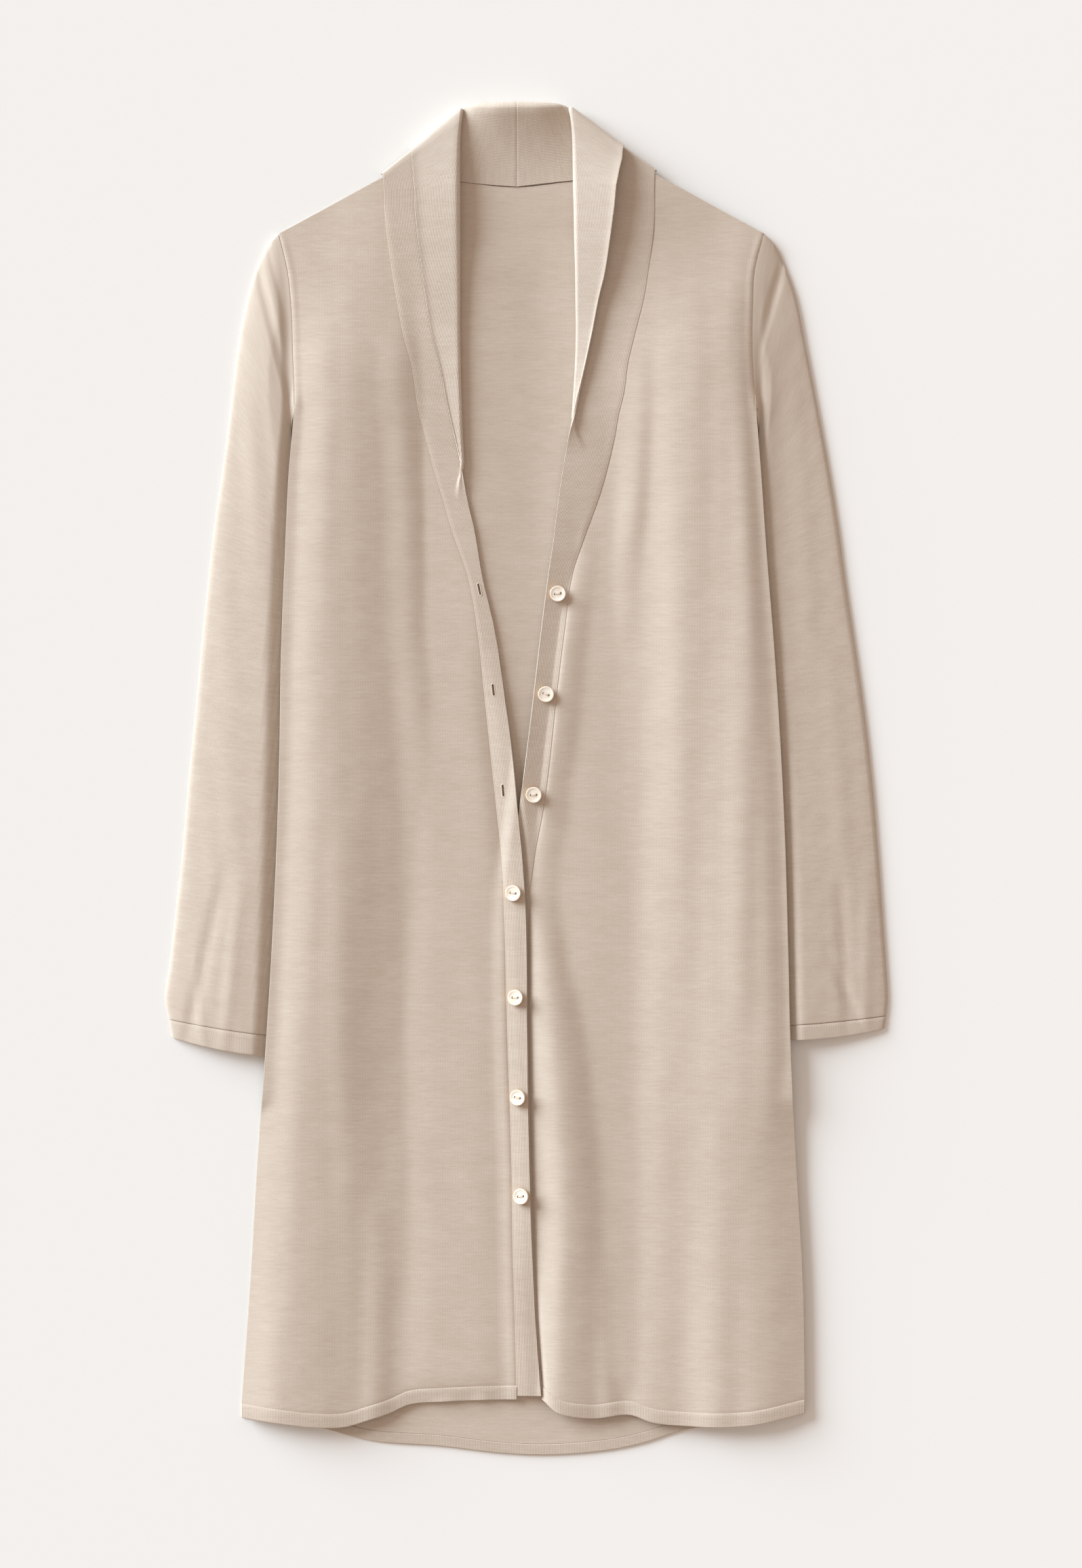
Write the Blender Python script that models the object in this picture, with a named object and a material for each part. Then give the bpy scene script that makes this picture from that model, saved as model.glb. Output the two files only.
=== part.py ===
"""Duster cardigan in a fine knit, laid flat on its back with the front fastened low.

X runs across the garment, Y from hem to neck and Z up from the surface it lies on.
The picture's left is the wearer's right. Tables are in millimetres, the model in metres.
"""
import math

import bmesh
import bpy
from mathutils import Vector

MM = 0.001

# Cloth and seams
KNIT = 1.2
BAND = 1.6
HEM_WALL = 1.5
SEAM_GAP = 0.4
LAYER_GAP = 0.8
FULLNESS = 2.9
HEM_FRONT = 11.0
HEM_BACK = 8.5
LAP_LIFT = 2.3

# Sleeves under the body
SLEEVE_PRESSED = 3.2
SLEEVE_CROWN = 6.2
FOOT_LENGTH = 34.0
FOOT_FOLD = 5.0
FOOT_STEPS = (-34.0, -24.0, -15.0, -6.0, 3.0, 12.0)
EDGE_INSET = 0.9
UNDERARM_BOW = 9.0
BACK_LIFT = 4.3
CUFF_END_Y = -224.0

# Collar
NECK_LIFT = 2.0
FALL_GAP = 2.2
CREASE_RADIUS = 2.2
NECK_AXIS_Z = 5.25
CENTRE_BACK_X = -9.0

# Buttons
BUTTON_D = 12.8
BUTTON_T = 2.6
BUTTON_HOLE_D = 1.9
BUTTON_HOLE_PITCH = 4.2
SLIT_LENGTH = 9.5
SLIT_WIDTH = 1.5

# The box of the finished garment is centred on the origin by this shift
CENTRE_X = -1.1
CENTRE_Y = 0.0

# y, left edge x, right edge x: armholes above the underarm, side seams below
BODY = [
    (433.5, -198.5, 188.0),
    (404.0, -191.5, 180.5),
    (377.0, -188.5, 179.0),
    (339.5, -187.0, 178.5),
    (294.0, -186.0, 181.5),
    (242.0, -190.0, 185.5),
    (177.5, -193.0, 190.0),
    (102.0, -196.0, 196.0),
    (15.5, -197.5, 201.5),
    (-49.5, -199.5, 204.5),
    (-136.0, -203.5, 207.0),
    (-217.0, -208.5, 209.0),
    (-298.0, -214.5, 213.0),
    (-406.0, -221.0, 219.0),
    (-509.0, -228.5, 220.5),
]

# y, seam x, fold x, free edge x of the band on the wearer's right, which laps on top
LAPEL_RIGHT = [
    (478.5, -115.0, -54.5, -91.2),
    (444.0, -113.0, -54.5, -89.0),
    (416.0, -109.5, -54.5, -86.0),
    (387.0, -105.0, -54.5, -82.0),
    (355.0, -99.3, -54.5, -77.0),
    (327.0, -92.0, -54.0, -70.0),
    (292.5, -86.8, -53.0, -63.0),
    (266.5, -80.0, -52.0, -57.0),
    (246.0, -74.5, -50.5, -52.5),
    (221.5, -67.0, -48.0, -48.0),
    (197.5, -60.0, -42.5, -42.5),
    (161.0, -47.5, -36.3, -36.3),
    (118.5, -39.8, -26.5, -26.5),
    (69.0, -34.5, -19.0, -19.0),
    (17.0, -29.0, -12.0, -12.0),
    (-25.5, -24.5, -8.0, -8.0),
    (-69.0, -19.8, -4.0, -4.0),
    (-110.5, -18.3, -1.5, -1.5),
    (-206.0, -15.8, -0.5, -0.5),
    (-299.5, -12.8, 1.0, 1.0),
    (-379.0, -11.5, 3.5, 3.5),
    (-430.5, -10.0, 6.0, 6.0),
    (-490.0, -8.5, 10.5, 10.5),
]

# y, seam x, fold x, free edge x of the band on the wearer's left, which lies under
LAPEL_LEFT = [
    (481.0, 100.5, 36.3, 72.0),
    (452.5, 100.5, 37.2, 68.5),
    (433.5, 99.5, 37.5, 66.0),
    (400.5, 95.0, 38.4, 61.0),
    (382.0, 92.0, 38.6, 56.5),
    (356.0, 85.5, 39.0, 51.5),
    (330.0, 79.3, 38.3, 46.0),
    (308.0, 76.5, 37.0, 41.0),
    (288.5, 71.8, 35.5, 36.5),
    (272.0, 69.0, 32.5, 32.5),
    (230.5, 58.5, 25.5, 25.5),
    (187.0, 43.0, 20.0, 20.0),
    (163.5, 35.5, 16.5, 16.5),
    (117.0, 29.0, 10.5, 10.5),
    (65.5, 22.7, 4.5, 4.5),
    (12.0, 17.0, -2.0, -2.0),
    (-25.5, 12.0, -7.0, -7.0),
    (-62.5, 5.0, -12.0, -12.0),
    (-96.5, 1.0, -15.5, -15.5),
    (-152.0, 0.2, -16.0, -16.0),
    (-247.5, 0.7, -14.0, -14.0),
    (-299.5, 2.2, -11.5, -11.5),
    (-379.0, 4.7, -10.0, -10.0),
    (-430.5, 7.2, -8.5, -8.5),
    (-490.0, 11.7, -7.0, -7.0),
]

# seam x, seam y, fold x, fold y, fall width, roll radius, turn about the neck in degrees
NECK_RIGHT = [
    (-114.2, 466.0, -54.5, 472.0, 36.0, 3.4, 0.0),
    (-114.6, 471.0, -54.5, 489.0, 40.0, 3.0, 0.0),
    (-114.9, 475.5, -54.3, 508.0, 44.0, 2.6, 0.0),
    (-115.0, 478.3, -53.2, 522.0, 48.0, 2.3, 0.0),
    (-115.0, 480.0, -51.5, 530.0, 51.0, 2.2, 18.0),
    (-115.0, 480.0, -51.5, 530.0, 51.0, 2.2, 60.0),
    (-115.0, 480.0, -51.5, 530.0, 51.0, 2.2, 120.0),
    (-115.0, 480.0, -51.0, 531.0, 51.0, 2.2, 162.0),
    (-101.0, 478.2, -49.5, 533.5, 53.0, 2.2, 180.0),
    (-80.0, 477.0, -47.0, 535.0, 55.5, 2.6, 180.0),
    (-57.0, 475.3, -40.0, 536.3, 58.0, 4.0, 180.0),
    (-33.0, 472.8, -25.0, 537.2, 60.0, 5.4, 180.0),
    (-9.2, 471.0, -9.2, 537.6, 61.0, 5.6, 180.0),
]
NECK_LEFT = [
    (100.5, 467.5, 36.6, 474.0, 34.0, 3.4, 0.0),
    (100.6, 472.5, 36.4, 491.0, 39.0, 3.0, 0.0),
    (100.7, 477.0, 36.0, 509.0, 44.0, 2.6, 0.0),
    (100.8, 480.5, 34.8, 523.0, 48.0, 2.3, 0.0),
    (100.8, 482.4, 32.6, 531.0, 52.0, 2.2, 18.0),
    (100.8, 482.4, 32.6, 531.0, 52.0, 2.2, 60.0),
    (100.8, 482.4, 32.6, 531.0, 52.0, 2.2, 120.0),
    (100.8, 482.4, 32.0, 532.0, 52.0, 2.2, 162.0),
    (87.0, 480.6, 30.5, 534.0, 54.0, 2.2, 180.0),
    (66.0, 479.0, 27.0, 535.5, 56.0, 2.6, 180.0),
    (42.0, 476.6, 21.0, 536.6, 58.0, 4.0, 180.0),
    (16.0, 473.9, 7.0, 537.3, 60.0, 5.4, 180.0),
    (-8.8, 471.0, -8.8, 537.6, 61.0, 5.6, 180.0),
]

# x, y along the back neck seam
NECK_SEAM = [
    (-115.0, 478.5),
    (-80.0, 476.5),
    (-54.0, 474.8),
    (-9.0, 470.7),
    (36.0, 475.6),
    (66.0, 478.6),
    (100.5, 481.0),
]

# x, y along the bottom edge of the two fronts, and of the longer back
HEM_FRONTS = [
    (-228.5, -508.0),
    (-201.5, -512.0),
    (-165.5, -516.0),
    (-145.0, -515.5),
    (-126.0, -510.0),
    (-109.0, -504.5),
    (-95.5, -498.5),
    (-69.0, -496.0),
    (-9.0, -494.0),
    (11.5, -494.0),
    (22.0, -503.5),
    (33.0, -507.0),
    (52.0, -509.0),
    (82.5, -506.5),
    (98.0, -512.0),
    (118.5, -514.5),
    (175.0, -514.5),
    (220.5, -505.0),
]
HEM_BACKS = [
    (-228.5, -508.5),
    (-165.5, -517.0),
    (-126.0, -527.0),
    (-69.0, -531.5),
    (-22.0, -537.0),
    (14.5, -538.5),
    (62.0, -535.0),
    (90.0, -529.5),
    (118.5, -520.5),
    (137.5, -516.5),
    (175.0, -515.0),
    (220.5, -505.5),
]

# outer x, outer y, inner x, inner y at stations from the armhole to the cuff's edge
SLEEVE_RIGHT = [
    (-198.9, 433.5, -186.4, 294.0),
    (-207.0, 424.5, -188.0, 285.0),
    (-215.0, 408.5, -188.3, 273.0),
    (-223.0, 382.5, -186.5, 259.0),
    (-230.5, 345.0, -181.0, 241.0),
    (-236.5, 296.0, -170.0, 217.0),
    (-242.0, 253.0, -152.0, 190.0),
    (-249.0, 204.5, -134.0, 160.0),
    (-254.5, 156.0, -129.0, 128.0),
    (-260.0, 102.0, -133.0, 85.0),
    (-265.0, 48.0, -141.0, 31.0),
    (-270.5, -6.0, -150.5, -22.0),
    (-274.5, -55.0, -161.0, -70.0),
    (-280.0, -103.5, -172.0, -118.0),
    (-285.0, -146.5, -183.0, -161.0),
    (-288.8, -173.5, -188.0, -186.0),
    (-286.0, -191.5, -190.0, -206.0),
    (-283.5, -206.0, -191.5, -222.0),
]
SLEEVE_LEFT = [
    (188.4, 433.5, 181.9, 294.0),
    (197.0, 424.5, 183.4, 285.0),
    (204.5, 408.5, 183.8, 273.0),
    (213.5, 382.5, 182.2, 259.0),
    (221.0, 345.0, 177.0, 241.0),
    (230.5, 296.0, 166.0, 217.0),
    (238.5, 253.0, 148.0, 190.0),
    (246.5, 204.5, 130.0, 160.0),
    (253.0, 156.0, 125.0, 129.0),
    (261.0, 102.0, 129.0, 86.0),
    (268.5, 48.0, 137.0, 33.0),
    (274.5, -6.0, 147.5, -20.0),
    (278.5, -55.0, 158.5, -66.0),
    (282.0, -103.5, 169.5, -110.0),
    (285.0, -146.5, 180.5, -150.0),
    (286.5, -172.0, 187.0, -178.0),
    (285.5, -188.0, 190.5, -196.0),
    (284.0, -199.0, 192.0, -208.0),
]
CUFF_RATIO_RIGHT = 0.9415
CUFF_RATIO_LEFT = 0.9445

# ridge from x0, y0 to x1, y1, height, half width
FOLDS = [
    (-167.0, 222.0, -122.0, -28.0, 1.4, 24.0),
    (-92.0, 261.0, -52.0, -65.0, 1.7, 22.0),
    (-136.0, -98.0, -143.0, -405.0, 1.7, 22.0),
    (-29.0, -109.0, -24.0, -480.0, 1.3, 17.0),
    (68.0, 231.0, 22.0, -56.0, 1.9, 20.0),
    (106.0, 188.0, 112.0, -136.0, 1.6, 22.0),
    (185.0, 333.0, 176.0, -279.0, 1.6, 28.0),
    (12.0, -125.0, 34.0, -279.0, 3.0, 19.0),
    (34.0, -279.0, 44.0, -500.0, 3.4, 22.0),
    (-198.0, 300.0, -216.0, -290.0, 1.5, 26.0),
    (126.0, -400.0, 132.0, -508.0, 1.6, 20.0),
    (-176.0, -420.0, -184.0, -508.0, 1.6, 20.0),
]

# x, y, tilt in degrees about Y, and 1 where the button is passed through its hole
BUTTONS = [
    (24.0, 147.0, -4.0, 0),
    (14.6, 67.0, -4.0, 0),
    (4.8, -13.0, -4.0, 0),
    (-11.2, -91.0, -17.0, 1),
    (-9.4, -174.0, -20.0, 1),
    (-7.6, -253.5, -20.0, 1),
    (-5.0, -332.0, -20.0, 1),
]
# x, y of the three open buttonholes
OPEN_SLITS = [
    (-38.5, 150.5),
    (-27.4, 70.5),
    (-19.6, -9.5),
]

ARMHOLE_ROWS = 8
LOWER_ROWS = 21
LOWER_STEP = 35.2
PANEL_COLUMNS = 11
NECK_COLUMNS = 6


def clear_scene():
    for obj in list(bpy.data.objects):
        bpy.data.objects.remove(obj, do_unlink=True)


def smooth(low, high, value):
    q = min(1.0, max(0.0, (value - low) / (high - low)))
    return q * q * (3.0 - 2.0 * q)


def mix(a, b, q):
    return a + (b - a) * q


def curve(table, value, column):
    """Cubic through one column of a table, against its first column."""
    rows = table if table[0][0] < table[-1][0] else table[::-1]
    if value <= rows[0][0]:
        return rows[0][column]
    if value >= rows[-1][0]:
        return rows[-1][column]
    i = 0
    while rows[i + 1][0] < value:
        i += 1
    x0, x1 = rows[i][0], rows[i + 1][0]
    y0, y1 = rows[i][column], rows[i + 1][column]
    step = (y1 - y0) / (x1 - x0)

    def slope(j):
        if j <= 0 or j >= len(rows) - 1:
            return step
        before = (rows[j][column] - rows[j - 1][column]) / (rows[j][0] - rows[j - 1][0])
        after = (rows[j + 1][column] - rows[j][column]) / (rows[j + 1][0] - rows[j][0])
        return 0.5 * (before + after)

    h = x1 - x0
    q = (value - x0) / h
    a = 2 * q**3 - 3 * q**2 + 1
    b = q**3 - 2 * q**2 + q
    c = -2 * q**3 + 3 * q**2
    d = q**3 - q**2
    return a * y0 + b * h * slope(i) + c * y1 + d * h * slope(i + 1)


def station(table, u):
    """A row of the table at u from 0 to 1, by a cubic through its rows."""
    last = len(table) - 1
    place = min(max(u, 0.0), 1.0) * last
    i = min(int(place), last - 1)
    q = place - i
    out = []
    for c in range(len(table[0])):
        p0 = table[max(i - 1, 0)][c]
        p1 = table[i][c]
        p2 = table[i + 1][c]
        p3 = table[min(i + 2, last)][c]
        bend = 2 * p0 - 5 * p1 + 4 * p2 - p3
        turn = 3 * p1 - p0 - 3 * p2 + p3
        out.append(0.5 * (2 * p1 + (p2 - p0) * q + bend * q * q + turn * q**3))
    return out


def ridge(x, y, fold):
    x0, y0, x1, y1, height, half = fold
    run_x, run_y = x1 - x0, y1 - y0
    length = math.hypot(run_x, run_y)
    along = ((x - x0) * run_x + (y - y0) * run_y) / length
    aside = ((x - x0) * run_y - (y - y0) * run_x) / length
    if abs(aside) >= half:
        return 0.0
    past = max(0.0, -along, along - length)
    ends = 1.0 - smooth(0.0, 60.0, past)
    return height * ends * math.cos(0.5 * math.pi * aside / half) ** 2


def relief(x, y):
    """How far the fronts stand off the back beyond their least gap."""
    left = curve(BODY, y, 1)
    right = curve(BODY, y, 2)
    edge = min(smooth(0.0, 16.0, x - left), smooth(0.0, 24.0, right - x))
    top = 1.0 - 0.8 * smooth(380.0, 440.0, y)
    height = 0.35 + sum(ridge(x, y, fold) for fold in FOLDS)
    return FULLNESS * (1.0 - math.exp(-height / FULLNESS)) * edge * top


def under_sleeve(x, y):
    """1 where a sleeve lies beneath the body, easing to 0 round it."""
    if y > 340.0 or y < CUFF_END_Y - 62.0:
        return 0.0
    ends = min(smooth(338.0, 296.0, y), smooth(CUFF_END_Y - 60.0, CUFF_END_Y - 26.0, y))
    most = 0.0
    for table, sign in ((SLEEVE_RIGHT, 1.0), (SLEEVE_LEFT, -1.0)):
        rows = [(row[3], row[2]) for row in table]
        edge = max(sign * curve(rows, y + reach, 1) for reach in (-26.0, -13.0, 0.0, 13.0, 26.0))
        most = max(most, smooth(34.0, 16.0, sign * x - edge))
    return most * ends


def back_under(x, y):
    """Underside of the back: flat on the surface, over the sleeves and at the neck."""
    neck = NECK_LIFT * smooth(440.0, 468.0, y) * smooth(150.0, 118.0, abs(x + 7.0))
    return BACK_LIFT * under_sleeve(x, y) + neck


def front_under(x, y):
    """Underside of the fronts and of the lapel's stand."""
    neck = 1.9 * smooth(436.0, 466.0, y) * smooth(140.0, 112.0, abs(x + 7.0))
    return back_under(x, y) + KNIT + LAYER_GAP + relief(x, y) + neck


def lap(x, y):
    """Extra height of the wearer's right front where it laps over the other band."""
    under_edge = curve(LAPEL_LEFT, y, 3)
    return LAP_LIFT * smooth(-13.0, -2.0, x - under_edge) * smooth(140.0, 60.0, y)


def place(x, y, z):
    return Vector(((x - CENTRE_X) * MM, (y - CENTRE_Y) * MM, z * MM))


def finish(name, bm, material):
    bmesh.ops.recalc_face_normals(bm, faces=bm.faces)
    mesh = bpy.data.meshes.new(name)
    bm.to_mesh(mesh)
    bm.free()
    mesh.materials.append(material)
    obj = bpy.data.objects.new(name, mesh)
    bpy.context.collection.objects.link(obj)
    mesh.shade_smooth()
    mesh.set_sharp_from_angle(angle=math.radians(40.0))
    return obj


def two_triangles(bm, a, b, c, d):
    bm.faces.new((a, b, c))
    bm.faces.new((a, c, d))


def wall(name, upper, lower, material, turned_from=None):
    """A cloth wall between two grids of points with the same rows and columns.

    From column turned_from on, each cell is split along its other diagonal.
    """
    bm = bmesh.new()
    rows, cols = len(upper), len(upper[0])
    top = [[bm.verts.new(p) for p in row] for row in upper]
    low = [[bm.verts.new(p) for p in row] for row in lower]
    for i in range(rows - 1):
        for j in range(cols - 1):
            for face in (top, low):
                corners = [face[i][j], face[i][j + 1], face[i + 1][j + 1], face[i + 1][j]]
                if turned_from is not None and j >= turned_from:
                    corners = corners[1:] + corners[:1]
                two_triangles(bm, *corners)
    rim = [(0, j) for j in range(cols - 1)]
    rim += [(i, cols - 1) for i in range(rows - 1)]
    rim += [(rows - 1, j) for j in range(cols - 1, 0, -1)]
    rim += [(i, 0) for i in range(rows - 1, 0, -1)]
    for (i, j), (k, m) in zip(rim, rim[1:] + rim[:1]):
        two_triangles(bm, top[i][j], top[k][m], low[k][m], low[i][j])
    return finish(name, bm, material)


def tube(name, outer, inner, material):
    """A cloth tube between two sets of rings, open at both ends."""
    bm = bmesh.new()
    outs = [[bm.verts.new(p) for p in ring] for ring in outer]
    ins = [[bm.verts.new(p) for p in ring] for ring in inner]
    count = len(outer[0])
    for i in range(len(outer) - 1):
        for j in range(count):
            k = (j + 1) % count
            two_triangles(bm, outs[i][j], outs[i][k], outs[i + 1][k], outs[i + 1][j])
            two_triangles(bm, ins[i][j], ins[i][k], ins[i + 1][k], ins[i + 1][j])
    for i in (0, len(outer) - 1):
        for j in range(count):
            k = (j + 1) % count
            two_triangles(bm, outs[i][j], outs[i][k], ins[i][k], ins[i][j])
    return finish(name, bm, material)


def cloth(name, colour, roughness):
    material = bpy.data.materials.new(name)
    material.use_nodes = True
    shader = material.node_tree.nodes["Principled BSDF"]
    shader.inputs["Base Color"].default_value = (*colour, 1.0)
    shader.inputs["Roughness"].default_value = roughness
    shader.inputs["Metallic"].default_value = 0.0
    material.diffuse_color = (*colour, 1.0)
    return material


def body_rows():
    """y at the sides and y at the band seams, for each row from shoulder to hem."""
    rows = []
    for k in range(ARMHOLE_ROWS + 1):
        q = k / ARMHOLE_ROWS
        rows.append((mix(433.5, 294.0, q), mix(478.5, 294.0, q**1.12)))
    for k in range(1, LOWER_ROWS + 1):
        y = 294.0 - k * LOWER_STEP
        rows.append((y, y))
    return rows


ROWS = body_rows()


def panel_plan(side, row, s, neck_y):
    """Plan place on a front, or on the back below it: s runs from side to band seam."""
    side_y, seam_y = ROWS[row]
    if row == 0:
        seam_y = neck_y
    lapel = LAPEL_RIGHT if side == 1 else LAPEL_LEFT
    edge = curve(BODY, side_y, side)
    seam = curve(lapel, seam_y, 1)
    return mix(edge, seam, s), mix(side_y, seam_y, s)


def hem_plan(side, s, table, rise):
    """Plan place on a line that runs a set rise above a bottom edge."""
    lapel = LAPEL_RIGHT if side == 1 else LAPEL_LEFT
    edge = curve(BODY, -498.0, side)
    seam = curve(lapel, -485.0, 1)
    x = mix(edge, seam, s)
    return x, curve(table, x, 1) + rise


def front_grid(side):
    neck_y = 478.5 if side == 1 else 481.0
    grid = []
    for row in range(len(ROWS)):
        grid.append([panel_plan(side, row, j / PANEL_COLUMNS, neck_y)
                     for j in range(PANEL_COLUMNS + 1)])
    grid.append([hem_plan(side, j / PANEL_COLUMNS, HEM_FRONTS, HEM_FRONT + SEAM_GAP)
                 for j in range(PANEL_COLUMNS + 1)])
    return grid


def front_height(side, x, y):
    z = front_under(x, y)
    return z + lap(x, y) if side == 1 else z


def sheet(name, grid, height, thickness, material, turned_from=None):
    upper = [[place(x, y, height(x, y) + thickness) for x, y in row] for row in grid]
    lower = [[place(x, y, height(x, y)) for x, y in row] for row in grid]
    return wall(name, upper, lower, material, turned_from)


def build_front(name, hem_name, side, material, trim):
    grid = front_grid(side)
    sheet(name, grid, lambda x, y: front_height(side, x, y), KNIT, material)
    strip = []
    for rise in (HEM_FRONT, 0.0):
        strip.append([hem_plan(side, j / PANEL_COLUMNS, HEM_FRONTS, rise)
                      for j in range(PANEL_COLUMNS + 1)])
    sheet(hem_name, strip, lambda x, y: front_height(side, x, y), HEM_WALL, trim)


def back_row(row):
    """One row of the back: the fronts' own places, with the neck's width between."""
    left = [panel_plan(1, row, j / PANEL_COLUMNS, 478.5) for j in range(PANEL_COLUMNS + 1)]
    right = [panel_plan(2, row, j / PANEL_COLUMNS, 481.0) for j in range(PANEL_COLUMNS + 1)]
    middle = []
    for j in range(1, NECK_COLUMNS):
        q = j / NECK_COLUMNS
        x = mix(left[-1][0], right[-1][0], q)
        y = mix(left[-1][1], right[-1][1], q)
        if row == 0:
            y = curve(NECK_SEAM, x, 1)
        middle.append((x, y))
    return left + middle + right[::-1]


def back_hem_row(table, rise):
    left = [hem_plan(1, j / PANEL_COLUMNS, table, rise) for j in range(PANEL_COLUMNS + 1)]
    right = [hem_plan(2, j / PANEL_COLUMNS, table, rise) for j in range(PANEL_COLUMNS + 1)]
    middle = []
    for j in range(1, NECK_COLUMNS):
        x = mix(left[-1][0], right[-1][0], j / NECK_COLUMNS)
        middle.append((x, curve(table, x, 1) + rise))
    return left + middle + right[::-1]


def build_back(material, trim):
    grid = [back_row(row) for row in range(len(ROWS))]
    grid.append(back_hem_row(HEM_FRONTS, HEM_FRONT + SEAM_GAP))
    grid.append(back_hem_row(HEM_BACKS, HEM_BACK + SEAM_GAP))
    middle = PANEL_COLUMNS + NECK_COLUMNS // 2
    sheet("back", grid, back_under, KNIT, material, middle)
    strip = [back_hem_row(HEM_BACKS, HEM_BACK), back_hem_row(HEM_BACKS, 0.0)]
    sheet("hem_back", strip, back_under, HEM_WALL, trim, middle)


def edge_normals(table, side, u):
    """Plan directions from the sleeve's outer and inner folded edges into the sleeve."""
    before, after = station(table, u - 0.01), station(table, u + 0.01)
    turn = 1.0 if side == 1 else -1.0
    out_x, out_y = after[0] - before[0], after[1] - before[1]
    in_x, in_y = after[2] - before[2], after[3] - before[3]
    outer = Vector((-out_y * turn, out_x * turn)).normalized()
    inner = Vector((in_y * turn, -in_x * turn)).normalized()
    seam = Vector((table[0][2] - table[0][0], table[0][3] - table[0][1])).normalized()
    return seam.lerp(outer, smooth(0.02, 0.1, u)), inner


def sleeve_ring(side, u):
    """Outer ring of the flattened sleeve at u from armhole to cuff edge."""
    table = SLEEVE_RIGHT if side == 1 else SLEEVE_LEFT
    sign = -1.0 if side == 1 else 1.0
    ox, oy, ix, iy = station(table, u)
    first = table[0]
    start = smooth(0.11, 0.0, u)
    width = math.hypot(ix - ox, iy - oy)
    turn = sign * (u / 0.08) * math.exp(1.0 - u / 0.08) * UNDERARM_BOW / width
    bow_x, bow_y = -(iy - oy) * turn, (ix - ox) * turn
    plan = []
    for k in range(ARMHOLE_ROWS + 1):
        s = k / ARMHOLE_ROWS
        y0 = ROWS[k][0]
        x0 = curve(BODY, y0, side) + sign * SEAM_GAP
        bow = x0 - mix(first[0], first[2], s)
        droop = -3.0 * smooth(0.9, 1.0, u) * 4.0 * s * (1.0 - s)
        aside = 9.48 * s**3 * (1.0 - s)
        plan.append((mix(ox, ix, s) + (1.0 - u) ** 8 * bow + aside * bow_x,
                     mix(oy, iy, s) + droop + aside * bow_y))
    inward = edge_normals(table, side, u)
    tops, lows = [], []
    for k, (x, y) in enumerate(plan):
        s = k / ARMHOLE_ROWS
        off_body = sign * (x - curve(BODY, y, side))
        crown = smooth(6.0, 28.0, off_body) * smooth(-2.0, 18.0, s * width)
        high = mix(SLEEVE_PRESSED, SLEEVE_CROWN, crown)
        seam_x = curve(BODY, ROWS[k][0], side)
        seam_high = front_under(seam_x, ROWS[k][0]) + KNIT
        seam_low = back_under(seam_x, ROWS[k][0])
        tops.append(mix(high, seam_high, start))
        lows.append(mix(0.0, seam_low, start))
    ends = [(p[0] + n.x * EDGE_INSET, p[1] + n.y * EDGE_INSET)
            for p, n in zip((plan[0], plan[-1]), inward)]
    line = [ends[0]] + plan[1:-1] + [ends[1]]
    ring = [place(x, y, z) for (x, y), z in zip(line, tops)]
    ring.append(place(*plan[-1], 0.5 * (tops[-1] + lows[-1])))
    ring += [place(x, y, z) for (x, y), z in zip(line[::-1], lows[::-1])]
    ring.append(place(*plan[0], 0.5 * (tops[0] + lows[0])))
    return ring


def inset_rings(rings, thickness):
    """Inner rings of a tube, each place moved in square to the surface."""
    count, last = len(rings[0]), len(rings) - 1
    inner = []
    for i, ring in enumerate(rings):
        normals = []
        for j, p in enumerate(ring):
            across = (ring[(j + 1) % count] - p).normalized() + (p - ring[j - 1]).normalized()
            along = rings[min(i + 1, last)][j] - rings[max(i - 1, 0)][j]
            normals.append(across.cross(along).normalized())
        if i == 0:
            away = (ring[ARMHOLE_ROWS] - ring[0]).cross(Vector((0.0, 0.0, 1.0))).normalized()
            normals = [(n - away * n.dot(away)).normalized() for n in normals]
        sign = 1.0 if normals[ARMHOLE_ROWS // 2].z < 0.0 else -1.0
        inner.append([p + n * sign * thickness for p, n in zip(ring, normals)])
    return inner


def build_sleeve(name, cuff_name, side, ratio, material, trim):
    length = 650.0
    stops = [0.0, 0.02, 0.045, 0.075, 0.11]
    count = 12
    stops += [mix(0.15, ratio, j / count) for j in range(count + 1)]
    rings = [sleeve_ring(side, u) for u in stops]
    tube(name, rings, inset_rings(rings, KNIT * MM), material)
    past = ratio + SEAM_GAP / length
    rings = [sleeve_ring(side, mix(past, 1.0, j / 2)) for j in range(3)]
    tube(cuff_name, rings, inset_rings(rings, KNIT * MM), trim)


def collar_section(fold_w, free_w, roll, sigma):
    """Twelve places across the collar: along the stand, round the roll, down the fall."""
    bulge = 2.0 * roll - FALL_GAP
    reach = min(roll, 0.45 * (fold_w - free_w) + 0.6)
    turn = fold_w - reach
    points = []
    for q in (0.0, 0.3, 0.58, 0.82, 1.0):
        a = q * turn
        points.append((a, -sigma * bulge * (a / turn) ** 2))
    low = -sigma * bulge
    high = FALL_GAP + (1.0 - sigma) * bulge
    centre = 0.5 * (low + high)
    for degrees in (-48.0, 0.0, 48.0):
        t = math.radians(degrees)
        points.append((turn + reach * math.cos(t), centre + 0.5 * (high - low) * math.sin(t)))
    for q in (0.0, 0.28, 0.62, 1.0):
        a = mix(turn, free_w, q)
        points.append((a, FALL_GAP + (1.0 - sigma) * bulge * (1.0 - q) ** 1.6))
    return points


def opened(section, share):
    """The same strip of cloth with every turn eased to a share of itself."""
    points = [section[0]]
    for (a0, n0), (a1, n1) in zip(section, section[1:]):
        length = math.hypot(a1 - a0, n1 - n0)
        turn = math.atan2(n1 - n0, a1 - a0)
        if turn < -0.5 * math.pi:
            turn += 2.0 * math.pi
        a, n = points[-1]
        points.append((a + length * math.cos(share * turn), n + length * math.sin(share * turn)))
    return points


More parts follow.
